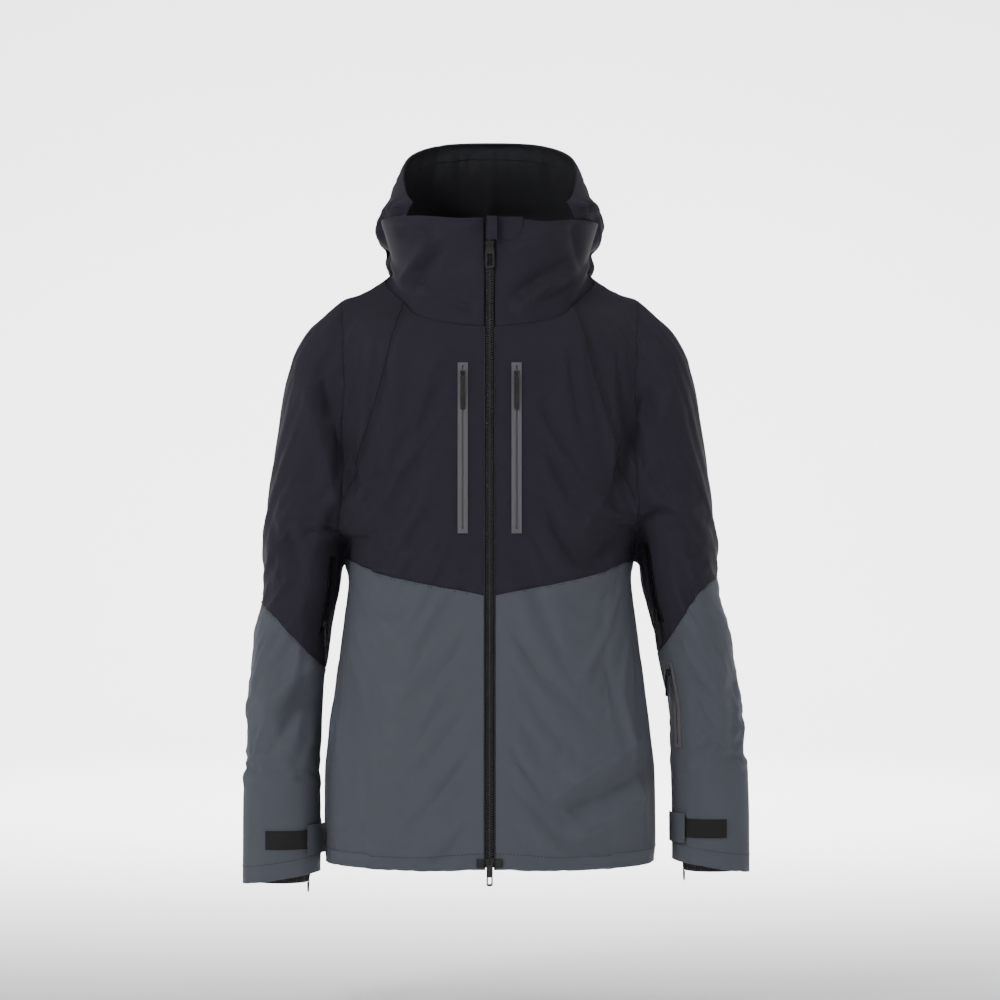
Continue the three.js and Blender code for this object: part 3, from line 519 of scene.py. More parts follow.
def taped(name, colour):
    """A woven zip tape or ribbon: fine herringbone."""
    shader = Shader(name)
    turn = 2 * math.pi / 0.0016
    lean = (shader.axis("X") * 500).math("SINE") * 0.6
    twill = ((shader.axis("Z") + shader.axis("X") * 1.0) * turn + lean).math("SINE") * 0.5 + 0.5
    grain = shader.noise(1200, 3.0)
    body = twill * 0.7 + grain * 0.3
    shader.set(Base_Color=shader.mix(body, rgba(colour, 0.65), rgba(colour, 1.25)), Roughness=0.72 + grain * 0.14)
    shader.bump(body, 0.0003, 0.8)
    return shader.material


class SKIJACKET_PG_colours(bpy.types.PropertyGroup):
    black: FloatVectorProperty(name="Black shell", description="Colour of the yoke, collar, hood and upper sleeves",
        default=(0.0032, 0.0028, 0.0048), subtype="COLOR", min=0, max=1)
    grey: FloatVectorProperty(name="Grey shell", description="Colour of the lower body and forearms",
        default=(0.0450, 0.0445, 0.0570), subtype="COLOR", min=0, max=1)
    lining: FloatVectorProperty(name="Lining", description="Colour of the inner face and the inner pieces",
        default=(0.0120, 0.0120, 0.0145), subtype="COLOR", min=0, max=1)
    # this colour is also used for the painted highlight on the zip teeth's heads
    film: FloatVectorProperty(name="Welded film", description="Colour of the welts of the pocket zips",
        default=(0.088, 0.086, 0.100), subtype="COLOR", min=0, max=1)
    plastic: FloatVectorProperty(name="Moulded plastic", description="Colour of sliders and pulls",
        default=(0.020, 0.020, 0.023), subtype="COLOR", min=0, max=1)
    hook: FloatVectorProperty(name="Hook strip", description="Colour of the cuff patches",
        default=(0.0120, 0.0105, 0.0125), subtype="COLOR", min=0, max=1)


class SKIJACKET_PG_cloth(bpy.types.PropertyGroup):
    voxel: FloatProperty(name="Cloth mesh", description="Edge length of the simulated cloth", default=0.0078,
        min=0.003, max=0.02, unit="LENGTH")
    frames: IntProperty(name="Frames", description="Simulated frames", default=16, min=1, max=60)
    slack: FloatProperty(name="Slack", description="How much larger the cloth is than its form, as a share",
        default=0.045, min=0, max=0.2)
    crease: FloatProperty(name="Creases", description="Height of the creases, as a share of their usual height",
        default=1.6, min=0, max=3)
    reach: FloatProperty(name="Reach", description="How far the cloth may move from its form", default=0.012,
        min=0, max=0.03, unit="LENGTH")


class SKIJACKET_PG_trim(bpy.types.PropertyGroup):
    tooth_pitch: FloatProperty(name="Tooth pitch", description="Distance between teeth of one row",
        default=0.0031, min=0.001, max=0.006, unit="LENGTH")
    stitch: FloatProperty(name="Stitch", description="Length of one stitch", default=0.0030, min=0.001,
        max=0.01, unit="LENGTH")
    gathers: IntProperty(name="Gathers", description="Gathers round the powder skirt's elastic", default=54,
        min=4, max=120)


def colours():
    return bpy.context.scene.ski_jacket_colours


def cloth_settings():
    return bpy.context.scene.ski_jacket_cloth


def trim_settings():
    return bpy.context.scene.ski_jacket_trim


class SKIJACKET_OT_finishes(bpy.types.Operator):
    """Makes the materials"""
    bl_idname = "ski_jacket.finishes"
    bl_label = "Finishes"

    def execute(self, context):
        c = colours()
        woven("shell_black", c.black, 0.62, 0.0012, 0.0)
        woven("shell_grey", c.grey, 0.70, 0.0012, 0.03)
        woven("lining", c.lining, 0.82, 0.0018, 0.05, 0.6)
        knitted("knit", c.lining, 0.0022)
        moulded("moulded", c.plastic, 0.36)
        # the film colour also serves as the painted highlight on the zip teeth's heads
        toothed("teeth", c.plastic, c.film)
        film("film", c.film)
        film("dark_film", [v * 1.25 for v in c.black])
        hooked("hook_strip", c.hook)
        taped("tape", c.lining)
        taped("thread", [v * 1.5 for v in c.black])
        taped("thread_grey", [v * 0.72 for v in c.grey])
        return {"FINISHED"}


# ---- Cloth --------------------------------------------------------------------------------------------------

def remeshed(bms, voxel, name):
    """One skin round several closed forms."""
    whole = bmesh.new()
    for bm in bms:
        add(whole, bm)
    obj = new_object(name, whole)
    modify(obj, "REMESH", mode="VOXEL", voxel_size=voxel, adaptivity=0.0, use_smooth_shade=True)
    return applied(obj)


def relax(obj, pinned, slack, inner=None, gravity=1.0, bending=2.0):
    """Lets the cloth settle under gravity with some slack, held where pinned is 1, and returns how far each point
    moved; its mesh is left as it was.
    """
    rest = coordinates(obj.data)
    group = obj.vertex_groups.new(name="held")
    for i, w in enumerate(pinned):
        group.add([i], float(w), "REPLACE")
    if inner:
        modify(inner, "COLLISION")
        inner.collision.thickness_outer = 0.001
    cloth = modify(obj, "CLOTH")
    cloth.settings.quality = 4
    cloth.settings.mass = 0.25
    cloth.settings.tension_stiffness = 20
    cloth.settings.compression_stiffness = 20
    cloth.settings.shear_stiffness = 8
    cloth.settings.bending_stiffness = bending
    cloth.settings.air_damping = 2
    cloth.settings.shrink_min = -slack
    cloth.settings.vertex_group_mass = "held"
    cloth.settings.effector_weights.gravity = gravity
    cloth.collision_settings.use_collision = bool(inner)
    cloth.collision_settings.distance_min = 0.001
    cloth.collision_settings.use_self_collision = False
    scene = bpy.context.scene
    for number in range(1, cloth_settings().frames + 1):
        scene.frame_set(number)
    settled = obj.evaluated_get(bpy.context.evaluated_depsgraph_get())
    moved = coordinates(settled.data) - rest
    obj.modifiers.clear()
    obj.vertex_groups.clear()
    if inner:
        bpy.data.objects.remove(inner)
    scene.frame_set(1)
    moved[~np.isfinite(moved)] = 0
    return moved


def capped(moved, reach):
    length = np.linalg.norm(moved, axis=1, keepdims=True)
    limit = np.reshape(reach, (-1, 1)) if np.ndim(reach) else reach
    return moved * np.tanh(length / limit) * limit / np.maximum(length, 1e-9)


def fold(co, n, line, back=False):
    """Raises, or with a negative height sinks, a soft ridge: x, z, x, z, width and height in millimetres."""
    a, b, (width, height) = np.split(np.array(line) / 1000, [2, 4])
    p = co[:, [0, 2]]
    t = np.clip(((p - a) @ (b - a)) / ((b - a) @ (b - a)), -0.25, 1.25)
    away = np.linalg.norm(p - (a + np.clip(t, 0, 1)[:, None] * (b - a)), axis=1)
    ends = smooth(-0.25, 0.2, t) * (1 - smooth(0.75, 1.25, t))
    facing = np.clip((n[:, 1] if back else -n[:, 1]) * 1.6, 0, 1)
    ridge = np.exp(-(away / width) ** 1.5)
    return n * (cloth_settings().crease * height * ridge * ends * facing)[:, None]


def crease(co, n, start, end, width, height):
    """A soft ridge along a line in space, or a furrow where the height is negative."""
    a, b = np.array(start), np.array(end)
    t = ((co - a) @ (b - a)) / ((b - a) @ (b - a))
    away = np.linalg.norm(co - (a + np.clip(t, 0, 1)[:, None] * (b - a)), axis=1)
    return n * (height * np.exp(-(away / width) ** 1.5))[:, None]


FOLDS = [
    # the creases from the shoulders into the underarms
    (-214, -130, -176, -275, 13, -7.5), (-232, -150, -196, -300, 14, 6),
    (203, -150, 158, -290, 13, -7), (224, -165, 190, -300, 14, 6),
    # pulls spreading from the underarms over the chest
    (-172, -285, -128, -335, 14, 4), (-165, -262, -100, -262, 16, -2.8),
    (150, -285, 108, -335, 14, 3.5), (165, -320, 130, -372, 12, -3.5),
    # inner elbows
    (-200, -330, -238, -440, 13, 6), (-190, -350, -232, -470, 9, -5),
    (-260, -330, -222, -430, 12, -4.5), (-225, -500, -290, -560, 14, 4.5),
    (-232, -545, -285, -620, 14, -4.5), (-292, -480, -262, -640, 16, 3.5),
    (205, -350, 240, -430, 12, 6), (215, -330, 262, -430, 12, -5),
    (245, -440, 300, -530, 14, 4), (240, -520, 290, -600, 14, -4),
    (300, -560, 262, -700, 14, 3.5), (318, -500, 310, -680, 12, -3),
    # the lower left front, dragged towards the side
    (80, -665, 190, -600, 13, 5), (95, -690, 195, -640, 12, -5.5),
    (110, -715, 198, -668, 12, 4.5), (172, -545, 200, -735, 10, 4.5),
    (150, -500, 185, -640, 13, -4),
    (-200, -560, -190, -735, 12, 4.5), (-178, -530, -165, -700, 15, -3),
    (-120, -560, -60, -700, 30, 2.2), (20, -480, 80, -560, 28, 2),
]
BACK_FOLDS = [
    (-205, -140, -165, -290, 14, -7), (205, -140, 165, -290, 14, -7),
    (-160, -300, -70, -360, 18, 4.5), (160, -300, 70, -360, 18, 4.5),
    (-170, -450, -60, -500, 18, 4), (170, -430, 50, -490, 18, 4.5),
    (-185, -520, -70, -570, 16, -4), (185, -510, 60, -560, 16, -4),
    (-100, -110, 100, -110, 20, 3), (-50, -560, -70, -740, 22, 3.5),
    (70, -580, 60, -740, 22, 3.5), (0, -200, 10, -420, 28, -3),
    (-235, -480, -300, -520, 13, 5.5), (-230, -530, -300, -575, 13, 5.5),
    (-230, -505, -300, -548, 11, -5), (235, -480, 305, -515, 13, 5.5),
    (240, -528, 312, -570, 13, 5.5), (240, -503, 310, -542, 11, -5),
]


def near_box(co, node, margin):
    low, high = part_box(node)
    gap = np.maximum(np.array(low) - co, co - np.array(high))
    outside = np.linalg.norm(np.maximum(gap, 0), axis=1)
    return 1 - smooth(margin, margin * 2.5, outside)


def skin_pins(co):
    """How firmly each point of the skin is held: 1 at the neck seam, the zips and the cuffs."""
    x, y, z = np.abs(co[:, 0]), co[:, 1], co[:, 2]
    neck = np.minimum(0, NECK_SLOPE * y)
    held = 1 - smooth(0.012, 0.05, neck - z)
    held = np.maximum(held, (1 - smooth(0.014, 0.034, x)) * (y < 0))
    for side in SIDES:
        sleeve = (co[:, 0] * side["sign"] > divide_x(z) - 0.006) & (z < -0.5)
        held = np.maximum(held, sleeve * (1 - smooth(0.10, 0.15, z - side["cuff_z"])))
        for node in (f"chest_welt_{side['name']}", f"vent_welt_{side['name']}", f"cuff_patch_{side['name']}"):
            held = np.maximum(held, near_box(co, node, 0.016 if node.startswith("vent") else 0.009))
    held = np.maximum(held, near_box(co, "forearm_welt_left", 0.009))
    return np.maximum(held, 0.35 * (1 - smooth(0.0, 0.03, z - HEM)))


def part_of(bm, test):
    """The faces whose centres pass a test, with their edges and points."""
    faces = [f for f in bm.faces if test(f.calc_center_median())]
    edges = {e for f in faces for e in f.edges}
    verts = {v for f in faces for v in f.verts}
    return [*verts, *edges, *faces]


def cut(bm, where, through, direction, clear=False):
    """Cuts what passes a test along a plane, and clears what lies on the direction's side where asked."""
    geom = part_of(bm, where) if where else [*bm.verts, *bm.edges, *bm.faces]
    return bmesh.ops.bisect_plane(bm, geom=geom, dist=1e-5, plane_co=through, plane_no=direction,
        clear_outer=clear)


def in_sleeve(side):
    return lambda p: p.x * side["sign"] > float(divide_x(p.z))


def in_body(p):
    return abs(p.x) < float(divide_x(p.z))


def open_ends(bm):
    """Opens the neck, the hem and the cuffs of the closed skin, on the pattern."""
    cut(bm, None, (0, 0, 0), (0, 0, 1), True)
    cut(bm, None, (0, 0, 0), (0, -NECK_SLOPE, 1), True)
    cut(bm, in_body, (0, 0, HEM), (0, 0, -1), True)
    for side in SIDES:
        edge = side["sign"] * (side["cuff_x"] + CUFF_HALF_WIDTH + SPREAD)
        cut(bm, in_sleeve(side), (edge, 0, side["cuff_z"]), (-side["sign"] * CUFF_SLOPE, 0, -1), True)


class SKIJACKET_OT_skin(bpy.types.Operator):
    """Drapes the body and sleeves as one cloth over a form"""
    bl_idname = "ski_jacket.skin"
    bl_label = "Draped Skin"

    def execute(self, context):
        settings = cloth_settings()
        forms = [lofted(BODY, 64)] + [lofted(sleeve_sections(side, SPREAD), 40) for side in SIDES]
        skin = remeshed(forms, settings.voxel, "skin")
        bm = from_object(skin)
        smoothed(bm, bm.verts, 4)
        open_ends(bm)
        bmesh.ops.remove_doubles(bm, verts=bm.verts, dist=0.0012)
        loose = [v for v in bm.verts if not v.link_faces]
        bmesh.ops.delete(bm, geom=loose, context="VERTS")
        bm.to_mesh(skin.data)
        bm.free()
        pattern = coordinates(skin.data)
        sleeve = np.abs(pattern[:, 0]) > divide_x(pattern[:, 2])
        worn = pattern.copy()
        worn[:, 0] -= np.sign(worn[:, 0]) * SPREAD * spread_share(worn[:, 2]) * sleeve
        set_coordinates(skin.data, worn)
        held = skin_pins(worn)
        wearer = bpy.data.objects.new("wearer", skin.data.copy())
        context.scene.collection.objects.link(wearer)
        set_coordinates(wearer.data, worn - normals(skin.data) * 0.007)
        moved = relax(skin, held, settings.slack, wearer)
        n = normals(skin.data)
        tight = (np.abs(n[:, 0]) > 0.5) & (worn[:, 2] < CROTCH_Z) & (np.abs(worn[:, 0]) > 0.15)
        inner = tight & (np.abs(worn[:, 0]) < 0.245)
        reach = np.where(inner, 0.003, settings.reach)
        set_coordinates(skin.data, worn + capped(moved, reach) * (1 - held)[:, None])
        layer = skin.data.attributes.new("pattern", "FLOAT_VECTOR", "POINT")
        layer.data.foreach_set("vector", pattern.ravel())
        subdivide(skin)
        draped, n = coordinates(skin.data), normals(skin.data)
        creased = sum(fold(draped, n, line) for line in FOLDS)
        creased = creased + sum(fold(draped, n, line, True) for line in BACK_FOLDS)
        creased *= (1 - skin_pins(draped) * 0.95)[:, None]
        for side, way in VENT_WAY.items():
            low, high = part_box(f"vent_slider_{side}")
            parked = (low + high) / 2
            creased += crease(draped, n, parked + way * 0.3, parked + way * 1.12, 0.011, -0.0024)
        set_coordinates(skin.data, draped + creased)
        bm = from_object(skin)
        made["skin_tree"] = BVHTree.FromBMesh(bm)
        made["skin"] = bm
        skin.hide_render = True
        made["skin_object"] = skin
        return {"FINISHED"}


def on_pattern(bm):
    """Puts the skin's points on its pattern and keeps the draped ones in a layer."""
    layers = bm.verts.layers.float_vector
    draped = layers["draped"] if "draped" in layers.keys() else layers.new("draped")
    pattern = layers["pattern"]
    for v in bm.verts:
        v[draped] = v.co
        v.co = v[pattern]
    return draped


def from_pattern(bm, draped):
    for v in bm.verts:
        v.co = v[draped]
    bm.normal_update()


def seam_planes():
    """The seams: each is a test for the part that it crosses, a point and a direction."""
    seams = []
    for s in (-1, 1):
        half = lambda p, s=s: p.x * s > 0 and in_body(p)
        seams.append((half, (0, 0, COLOUR_SEAM_Z), (-s * COLOUR_SEAM_RISE, 0, 1)))
    for one in SIDES:
        s = one["sign"]
        near = lambda p, s=s: p.z > CROTCH_Z - 0.012 and abs(p.x * s - ARMHOLE_X) < 0.03
        seams.append((near, (s * ARMHOLE_X, 0, 0), (s, 0, 0)))
        seams.append((in_sleeve(one), (s * (SLEEVE_SEAM_X + SPREAD), 0, one["seam_z"]),
            (-s * SLEEVE_SEAM_RISE[one["name"]], 0, 1)))
    seams.append((in_body, (0, SIDE_SEAM_Y, 0), (0, 1, 0)))
    for s in (-1, 1):
        seams.append((lambda p, s=s: in_body(p) and p.y < 0 and abs(p.x) < 0.03, (s * ZIP_WINDOW, 0, 0), (s, 0, 0)))
    return seams


def panel_name(p):
    """The panel that a point of the pattern belongs to."""
    side = SIDES[1] if p.x > 0 else SIDES[0]
    x = abs(p.x)
    if in_sleeve(side)(p):
        above = p.z - side["seam_z"] > SLEEVE_SEAM_RISE[side["name"]] * (x - SLEEVE_SEAM_X - SPREAD)
        return f"sleeve_{'upper' if above else 'lower'}_{side['name']}"
    above = p.z > COLOUR_SEAM_Z + COLOUR_SEAM_RISE * x
    level = "upper" if above else "lower"
    if p.y > SIDE_SEAM_Y:
        return f"back_{level}"
    return None if x < ZIP_WINDOW else f"front_{level}_{side['name']}"


PANELS = {f"back_{level}": "jacket_body" for level in ("upper", "lower")}
PANELS.update({f"front_{level}_{s['name']}": "jacket_body" for level in ("upper", "lower") for s in SIDES})
PANELS.update({f"sleeve_{level}_{s['name']}": f"sleeve_{s['name']}" for level in ("upper", "lower") for s in SIDES})


class SKIJACKET_OT_panels(bpy.types.Operator):
    """Cuts the draped skin into the shell's panels along its seams"""
    bl_idname = "ski_jacket.panels"
    bl_label = "Shell Panels"

    def execute(self, context):
        bm = made["skin"]
        draped = on_pattern(bm)
        for where, through, direction in seam_planes():
            cut(bm, where, through, direction)
        names = sorted(PANELS)
        owner = bm.faces.layers.int.new("panel")
        for face in bm.faces:
            name = panel_name(face.calc_center_median())
            face[owner] = names.index(name) if name else -1
        from_pattern(bm, draped)
        groove = [v for v in bm.verts if len({f[owner] for f in v.link_faces}) > 1 and all(
            f[owner] >= 0 for f in v.link_faces)]
        for v in groove:
            v.co -= v.normal * GROOVE
        for index, name in enumerate(names):
            piece = bm.copy()
            own = piece.faces.layers.int["panel"]
            rest = [f for f in piece.faces if f[own] != index]
            bmesh.ops.delete(piece, geom=rest, context="FACES")
            if not piece.faces:
                raise RuntimeError(f"{name} has no cloth")
            obj = new_object(f"{name}_cloth", piece)
            look = "shell_grey" if "lower" in name else "shell_black"
            bends = name.startswith("sleeve_upper")
            modify(obj, "SOLIDIFY", thickness=SHELL, offset=-1, material_offset=1, use_even_offset=False)
            modify(obj, "WEIGHTED_NORMAL", keep_sharp=True)
            finish(obj, None if bends else PANELS[name], look, [name], "lining")
            if bends:
                applied_keep(obj)
                across_armhole(obj, name.rsplit("_", 1)[1])
        return {"FINISHED"}


def applied_keep(obj):
    materials = list(obj.data.materials)
    applied(obj)
    if not obj.data.materials:
        for m in materials:
            obj.data.materials.append(m)


def across_armhole(obj, side):
    """Bakes the object's placement into its mesh."""
    sign = -1 if side == "right" else 1
    sign * 0.23
    sign * 0.23
    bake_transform(obj)


# ---- Seams --------------------------------------------------------------------------------------------------

def traced(bm, where, through, direction, fresh=False):
    """Chains of (point, normal) along the draped cloth where a plane of the pattern crosses it."""
    work = bm.copy()
    pattern = work.verts.layers.float_vector["pattern"]
    if fresh:
        draped = on_pattern(work)
        cut(work, where, through, direction)
        from_pattern(work, draped)
    work.normal_update()
    point, way = Vector(through), Vector(direction).normalized()
    flat = lambda v: abs((v[pattern] - point).dot(way)) < 4e-5
    edges = [e for e in work.edges if flat(e.verts[0]) and flat(e.verts[1]) and
        where((e.verts[0][pattern] + e.verts[1][pattern]) / 2)]
    links = {}
    for e in edges:
        for v in e.verts:
            links.setdefault(v, []).append(e)
    chains, used = [], set()
    starts = sorted(links, key=lambda v: (len(links[v]) != 1, v.index))
    for start in starts:
        for edge in links[start]:
            if edge in used:
                continue
            chain, here, at = [start], edge, start
            while here and here not in used:
                used.add(here)
                at = here.other_vert(at)
                chain.append(at)
                here = next((e for e in links[at] if e not in used), None)
            if len(chain) > 3:
                chains.append([(v.co.copy(), v.normal.copy()) for v in chain])
    work.free()
    return chains


def resampled(chain, step):
    """The chain at even distances: points, tangents and normals."""
    points = np.array([p for p, _ in chain])
    away = np.array([n for _, n in chain])
    lengths = np.concatenate([[0], np.cumsum(np.linalg.norm(np.diff(points, axis=0), axis=1))])
    count = max(3, int(lengths[-1] / step) + 1)
    at = np.linspace(0, lengths[-1], count)
    points = np.stack([np.interp(at, lengths, points[:, k]) for k in range(3)], 1)
    away = np.stack([np.interp(at, lengths, away[:, k]) for k in range(3)], 1)
    tangents = np.gradient(points, axis=0)
    tangents /= np.maximum(np.linalg.norm(tangents, axis=1, keepdims=True), 1e-9)
    away -= tangents * (away * tangents).sum(1)[:, None]
    away /= np.maximum(np.linalg.norm(away, axis=1, keepdims=True), 1e-9)
    return points, tangents, away


def ribbon(whole, chain, half_width, half_thick, lift, shift=0.0, step=0.004, ring=8):
    """A flat cord that follows a chain, lifted off the cloth and shifted to one side of the seam."""
    points, tangents, away = resampled(chain, step)
    across = np.cross(tangents, away)
    count = len(points) - 1

    def place(u, v):
        i = min(count, round(u * count))
        a = 2 * math.pi * v
        c = math.copysign(abs(math.cos(a)) ** 0.6, math.cos(a))
        s = math.copysign(abs(math.sin(a)) ** 0.6, math.sin(a))
        return Vector(points[i] + across[i] * (shift + half_width * c) + away[i] * (lift + half_thick * s))

    bm = surface(count, ring, place, closed=True)
    bmesh.ops.holes_fill(bm, edges=[e for e in bm.edges if e.is_boundary], sides=0)
    bmesh.ops.recalc_face_normals(bm, faces=bm.faces)
    add(whole, bm)


def stitches(whole, chain, shift, lift=0.0004):
    """A row of lockstitches beside a seam."""
    length = trim_settings().stitch
    points, tangents, away = resampled(chain, length * 1.45)
    across = np.cross(tangents, away)
    thread = bmesh.new()
    bmesh.ops.create_uvsphere(thread, u_segments=6, v_segments=4, radius=1)
    bmesh.ops.scale(thread, vec=(length / 2, 0.00042, 0.00036), verts=thread.verts)
    places = []
    for p, t, n, b in zip(points, tangents, away, across):
        place = Matrix((t, b, n)).transposed().to_4x4()
        place.translation = p + b * shift + n * lift
        places.append(place)
    add(whole, thread, places)


class SKIJACKET_OT_seams(bpy.types.Operator):
    """Adds the topstitching, the edge bindings and the tapes inside the seams"""
    bl_idname = "ski_jacket.seams"
    bl_label = "Seams and Stitching"

    def execute(self, context):
        bm = made["skin"]
        seams = seam_planes()
        tape, rows = bmesh.new(), bmesh.new()
        for where, through, direction in seams[:2]:
            clear = lambda p, where=where: where(p) and (p.y > 0 or abs(p.x) > SLIDER_WAY)
            for chain in traced(bm, clear, through, direction):
                ribbon(tape, chain, TAPE_HALF_WIDTH, 0.0002, -SHELL - 0.0016)
                for shift in (TOPSTITCH, -TOPSTITCH):
                    stitches(rows, chain, shift)
        for chain in traced(bm, *seams[6]):
            ribbon(tape, chain, TAPE_HALF_WIDTH, 0.0002, -SHELL - 0.0018)
        hem_line = (in_body, (0, 0, HEM + HEM_TURNING), (0, 0, 1))
        grey_rows = bmesh.new()
        for chain in traced(bm, *hem_line, fresh=True):
            stitches(grey_rows, chain, 0.0)
        finish(new_object("body_seam_tape", tape), "jacket_body", "dark_film")
        finish(new_object("body_topstitch", rows), "jacket_body", "thread")
        finish(new_object("hem_topstitch", grey_rows), "jacket_body", "thread_grey")
        for k, side in enumerate(SIDES):
            s, body = side["sign"], f"sleeve_{side['name']}"
            armhole, sleeve_seam = seams[2 + 2 * k:4 + 2 * k]
            rows = bmesh.new()
            for chain in traced(bm, *armhole):
                stitches(rows, chain, 0.0024)
            across_armhole(finish(new_object(f"armhole_topstitch_{side['name']}", rows), None, "thread"),
                side["name"])
            rows, grey_rows = bmesh.new(), bmesh.new()
            for chain in traced(bm, *sleeve_seam):
                stitches(rows, chain, TOPSTITCH)
                stitches(rows, chain, -TOPSTITCH)
            edge = s * (side["cuff_x"] + CUFF_HALF_WIDTH + SPREAD)
            line = (in_sleeve(side), (edge, 0, side["cuff_z"] + CUFF_TURNING), (-s * CUFF_SLOPE, 0, -1))
            for chain in traced(bm, *line, fresh=True):
                stitches(grey_rows, chain, 0.0)
            finish(new_object(f"sleeve_topstitch_{side['name']}", rows), body, "thread")
            finish(new_object(f"cuff_topstitch_{side['name']}", grey_rows), body, "thread_grey")
        rows = bmesh.new()
        for s in (-1, 1):
            for front in (-1, 1):
                inside = (lambda p, s=s, front=front: in_body(p) and p.x * s > 0.09 and p.y * front > 0
                    and p.x * s < ARMHOLE_X - 0.004 and p.z > -0.30)
                for chain in traced(bm, inside, (s * 0.106, 0, -0.03), (s * 0.24, 0, 0.075), fresh=True):
                    for shift in (0.0, 0.0042):
                        stitches(rows, chain, shift)
                    ribbon(rows, chain, 0.0009, 0.0004, 0.0, shift=-0.0022, step=0.003, ring=8)
        finish(new_object("raglan_topstitch", rows), "jacket_body", "thread")
        for s, where_x in ((-1, "right"), (1, "left")):
            edge = (lambda p, s=s: p.x * s > 0 and p.x * s < 0.03 and p.y < 0, (s * ZIP_WINDOW, 0, 0), (s, 0, 0))
            binding = bmesh.new()
            for chain in traced(bm, *edge):
                ribbon(binding, chain, 0.0011, 0.0009, -0.0003, ring=10)
            finish(new_object(f"front_binding_{where_x}", binding), "jacket_body", "dark_film")
        return {"FINISHED"}


# ---- Collar and hood ----------------------------------------------------------------------------------------

def neck_height(y):
    return min(0.0, NECK_SLOPE * y)


COLLAR_FOLDS = [
    # the hood's weight drags the collar's sides down and back
    (-112, -14, -78, 34, 9, 4.8), (-98, -20, -60, 26, 8, -4.2),
    (-80, 34, -12, 56, 11, 2.4), (-78, -34, -16, -52, 7, -3.4),
    (-90, -22, -26, -40, 8, 3), (-118, 52, -70, 44, 8, -3),
    (36, -50, 112, 4, 9, 4.8), (30, -36, 100, 18, 9, -4),
    (106, 58, 118, 6, 8, -4), (30, 26, 86, 46, 10, 2.6),
    (60, -44, 104, -14, 7, -3), (-50, 0, -18, 14, 12, -1.8),
]
HOOD_CREASES = [
    # sharp folds where the hood's sides double over beside the collar
    (-140, -60, 60, -95, -55, 72, 8, -7),
    (-146, -50, 42, -105, -66, 58, 9, 8),
    (-128, -45, 20, -148, 20, 50, 10, 7),
    (-120, -20, -2, -142, 50, 30, 10, -6),
    (-142, -20, 90, -150, 60, 60, 13, 6),
    (140, -60, 56, 98, -55, 70, 8, -7),
    (146, -50, 40, 108, -66, 60, 9, 7.5),
    (130, -45, 12, 148, 20, 45, 10, 7),
    (122, -15, -4, 142, 55, 28, 10, -6.5),
    (142, -10, 95, 150, 70, 55, 13, 5.5),
    # the pouch behind the neck
    (-110, 120, 20, 110, 120, 30, 16, 6),
    (-90, 180, 50, 80, 185, 35, 14, -7),
    (-100, 175, 85, 20, 190, 70, 14, 6),
    (0, 190, 100, 110, 165, 80, 13, 5),
    (0, 186, 20, 0, 150, 170, 10, -1.6),
]


class SKIJACKET_OT_collar(bpy.types.Operator):
    """Stands the two halves of the collar on the neck seam"""
    bl_idname = "ski_jacket.collar"
    bl_label = "Collar"

    def execute(self, context):
        bottom = section_at(COLLAR, -0.073)
        for side in SIDES:
            s = side["sign"]
            power = bottom[5] / 2
            opening = math.asin((ZIP_WINDOW / bottom[2]) ** power)

            def place(u, v):
                angle = opening + (math.pi - opening) * u
                z = neck_height(-front_depth(-0.05) * math.cos(angle) if math.cos(angle) > 0 else 1)
                for _ in range(4):
                    _, y = on_section(section_at(COLLAR, z), angle)
                    z = neck_height(y)
                seam = Vector((s * on_section(section_at(COLLAR, z), angle)[0], y, z))
                top = COLLAR_TOP - 0.001
                if angle < math.pi / 2:
                    top += 0.005 * smooth(0.03, 0.09, -seam.x) - 0.004 * math.exp(-((seam.x - 0.060) / 0.024) ** 2)
                z += (top - z) * v
                x, y = on_section(section_at(COLLAR, z), angle)
                roll = 0.0055 * math.exp(-((v - 0.17) / 0.11) ** 2) * smooth(0.02, 0.06, abs(x))
                out = Vector((x, y, 0)).normalized()
                p = Vector((x, y, z)) + out * roll
                p.x = s * (max(p.x, ZIP_WINDOW) if u < 0.5 else p.x)
                spot, away, _, _ = made["skin_tree"].find_nearest(seam)
                return p.lerp(spot - away * 0.0012, 1 - float(smooth(0.0, 0.13, v)))

            bm = surface(120, 44, place)
            bmesh.ops.remove_doubles(bm, verts=bm.verts, dist=1e-5)
            if s < 0:
                bmesh.ops.reverse_faces(bm, faces=bm.faces)
            obj = new_object(f"collar_{side['name']}_cloth", bm)
            co, n = coordinates(obj.data), normals(obj.data)
            if (n[:, 1] * co[:, 1]).sum() < 0:
                n = -n
                obj.data.flip_normals()
            held = 1 - smooth(0.012, 0.030, np.abs(co[:, 0])) * (1 - smooth(0.052, 0.066, co[:, 2]) * 0.5)
            moved = sum(fold(co, n, line) for line in COLLAR_FOLDS)
            low = np.array([neck_height(y) for y in co[:, 1]])
            rise = smooth(0.0, 0.014, co[:, 2] - low)
            set_coordinates(obj.data, co + moved * ((1 - held) * rise)[:, None])
            modify(obj, "SOLIDIFY", thickness=0.0022, offset=-1, material_offset=1)
            modify(obj, "SUBSURF", levels=1, render_levels=1)
            finish(obj, "jacket_body", "shell_black", [f"collar_{side['name']}"], "lining")
        return {"FINISHED"}


def within(section, x, y, grow):
    cx, cy, half, front, back, square = section
    depth = front if y < cy else back
    return abs((x - cx) / (half + grow)) ** square + abs((y - cy) / (depth + grow)) ** square < 1


def in_neck(p, grow=0.0012):
    """Inside the collar or the top of the body."""
    if p.z < COLLAR_TOP + 0.002 and p.z > -0.09 and within(section_at(COLLAR, p.z), p.x, p.y, grow):
        return True
    return p.z < 0.02 and within(section_at(BODY, p.z), p.x, p.y, grow)


def crease_line(line):
    """Start, end, width and height in metres."""
    start, end, (width, height) = np.split(np.array(line) / 1000, [3, 6])
    return start, end, width, height


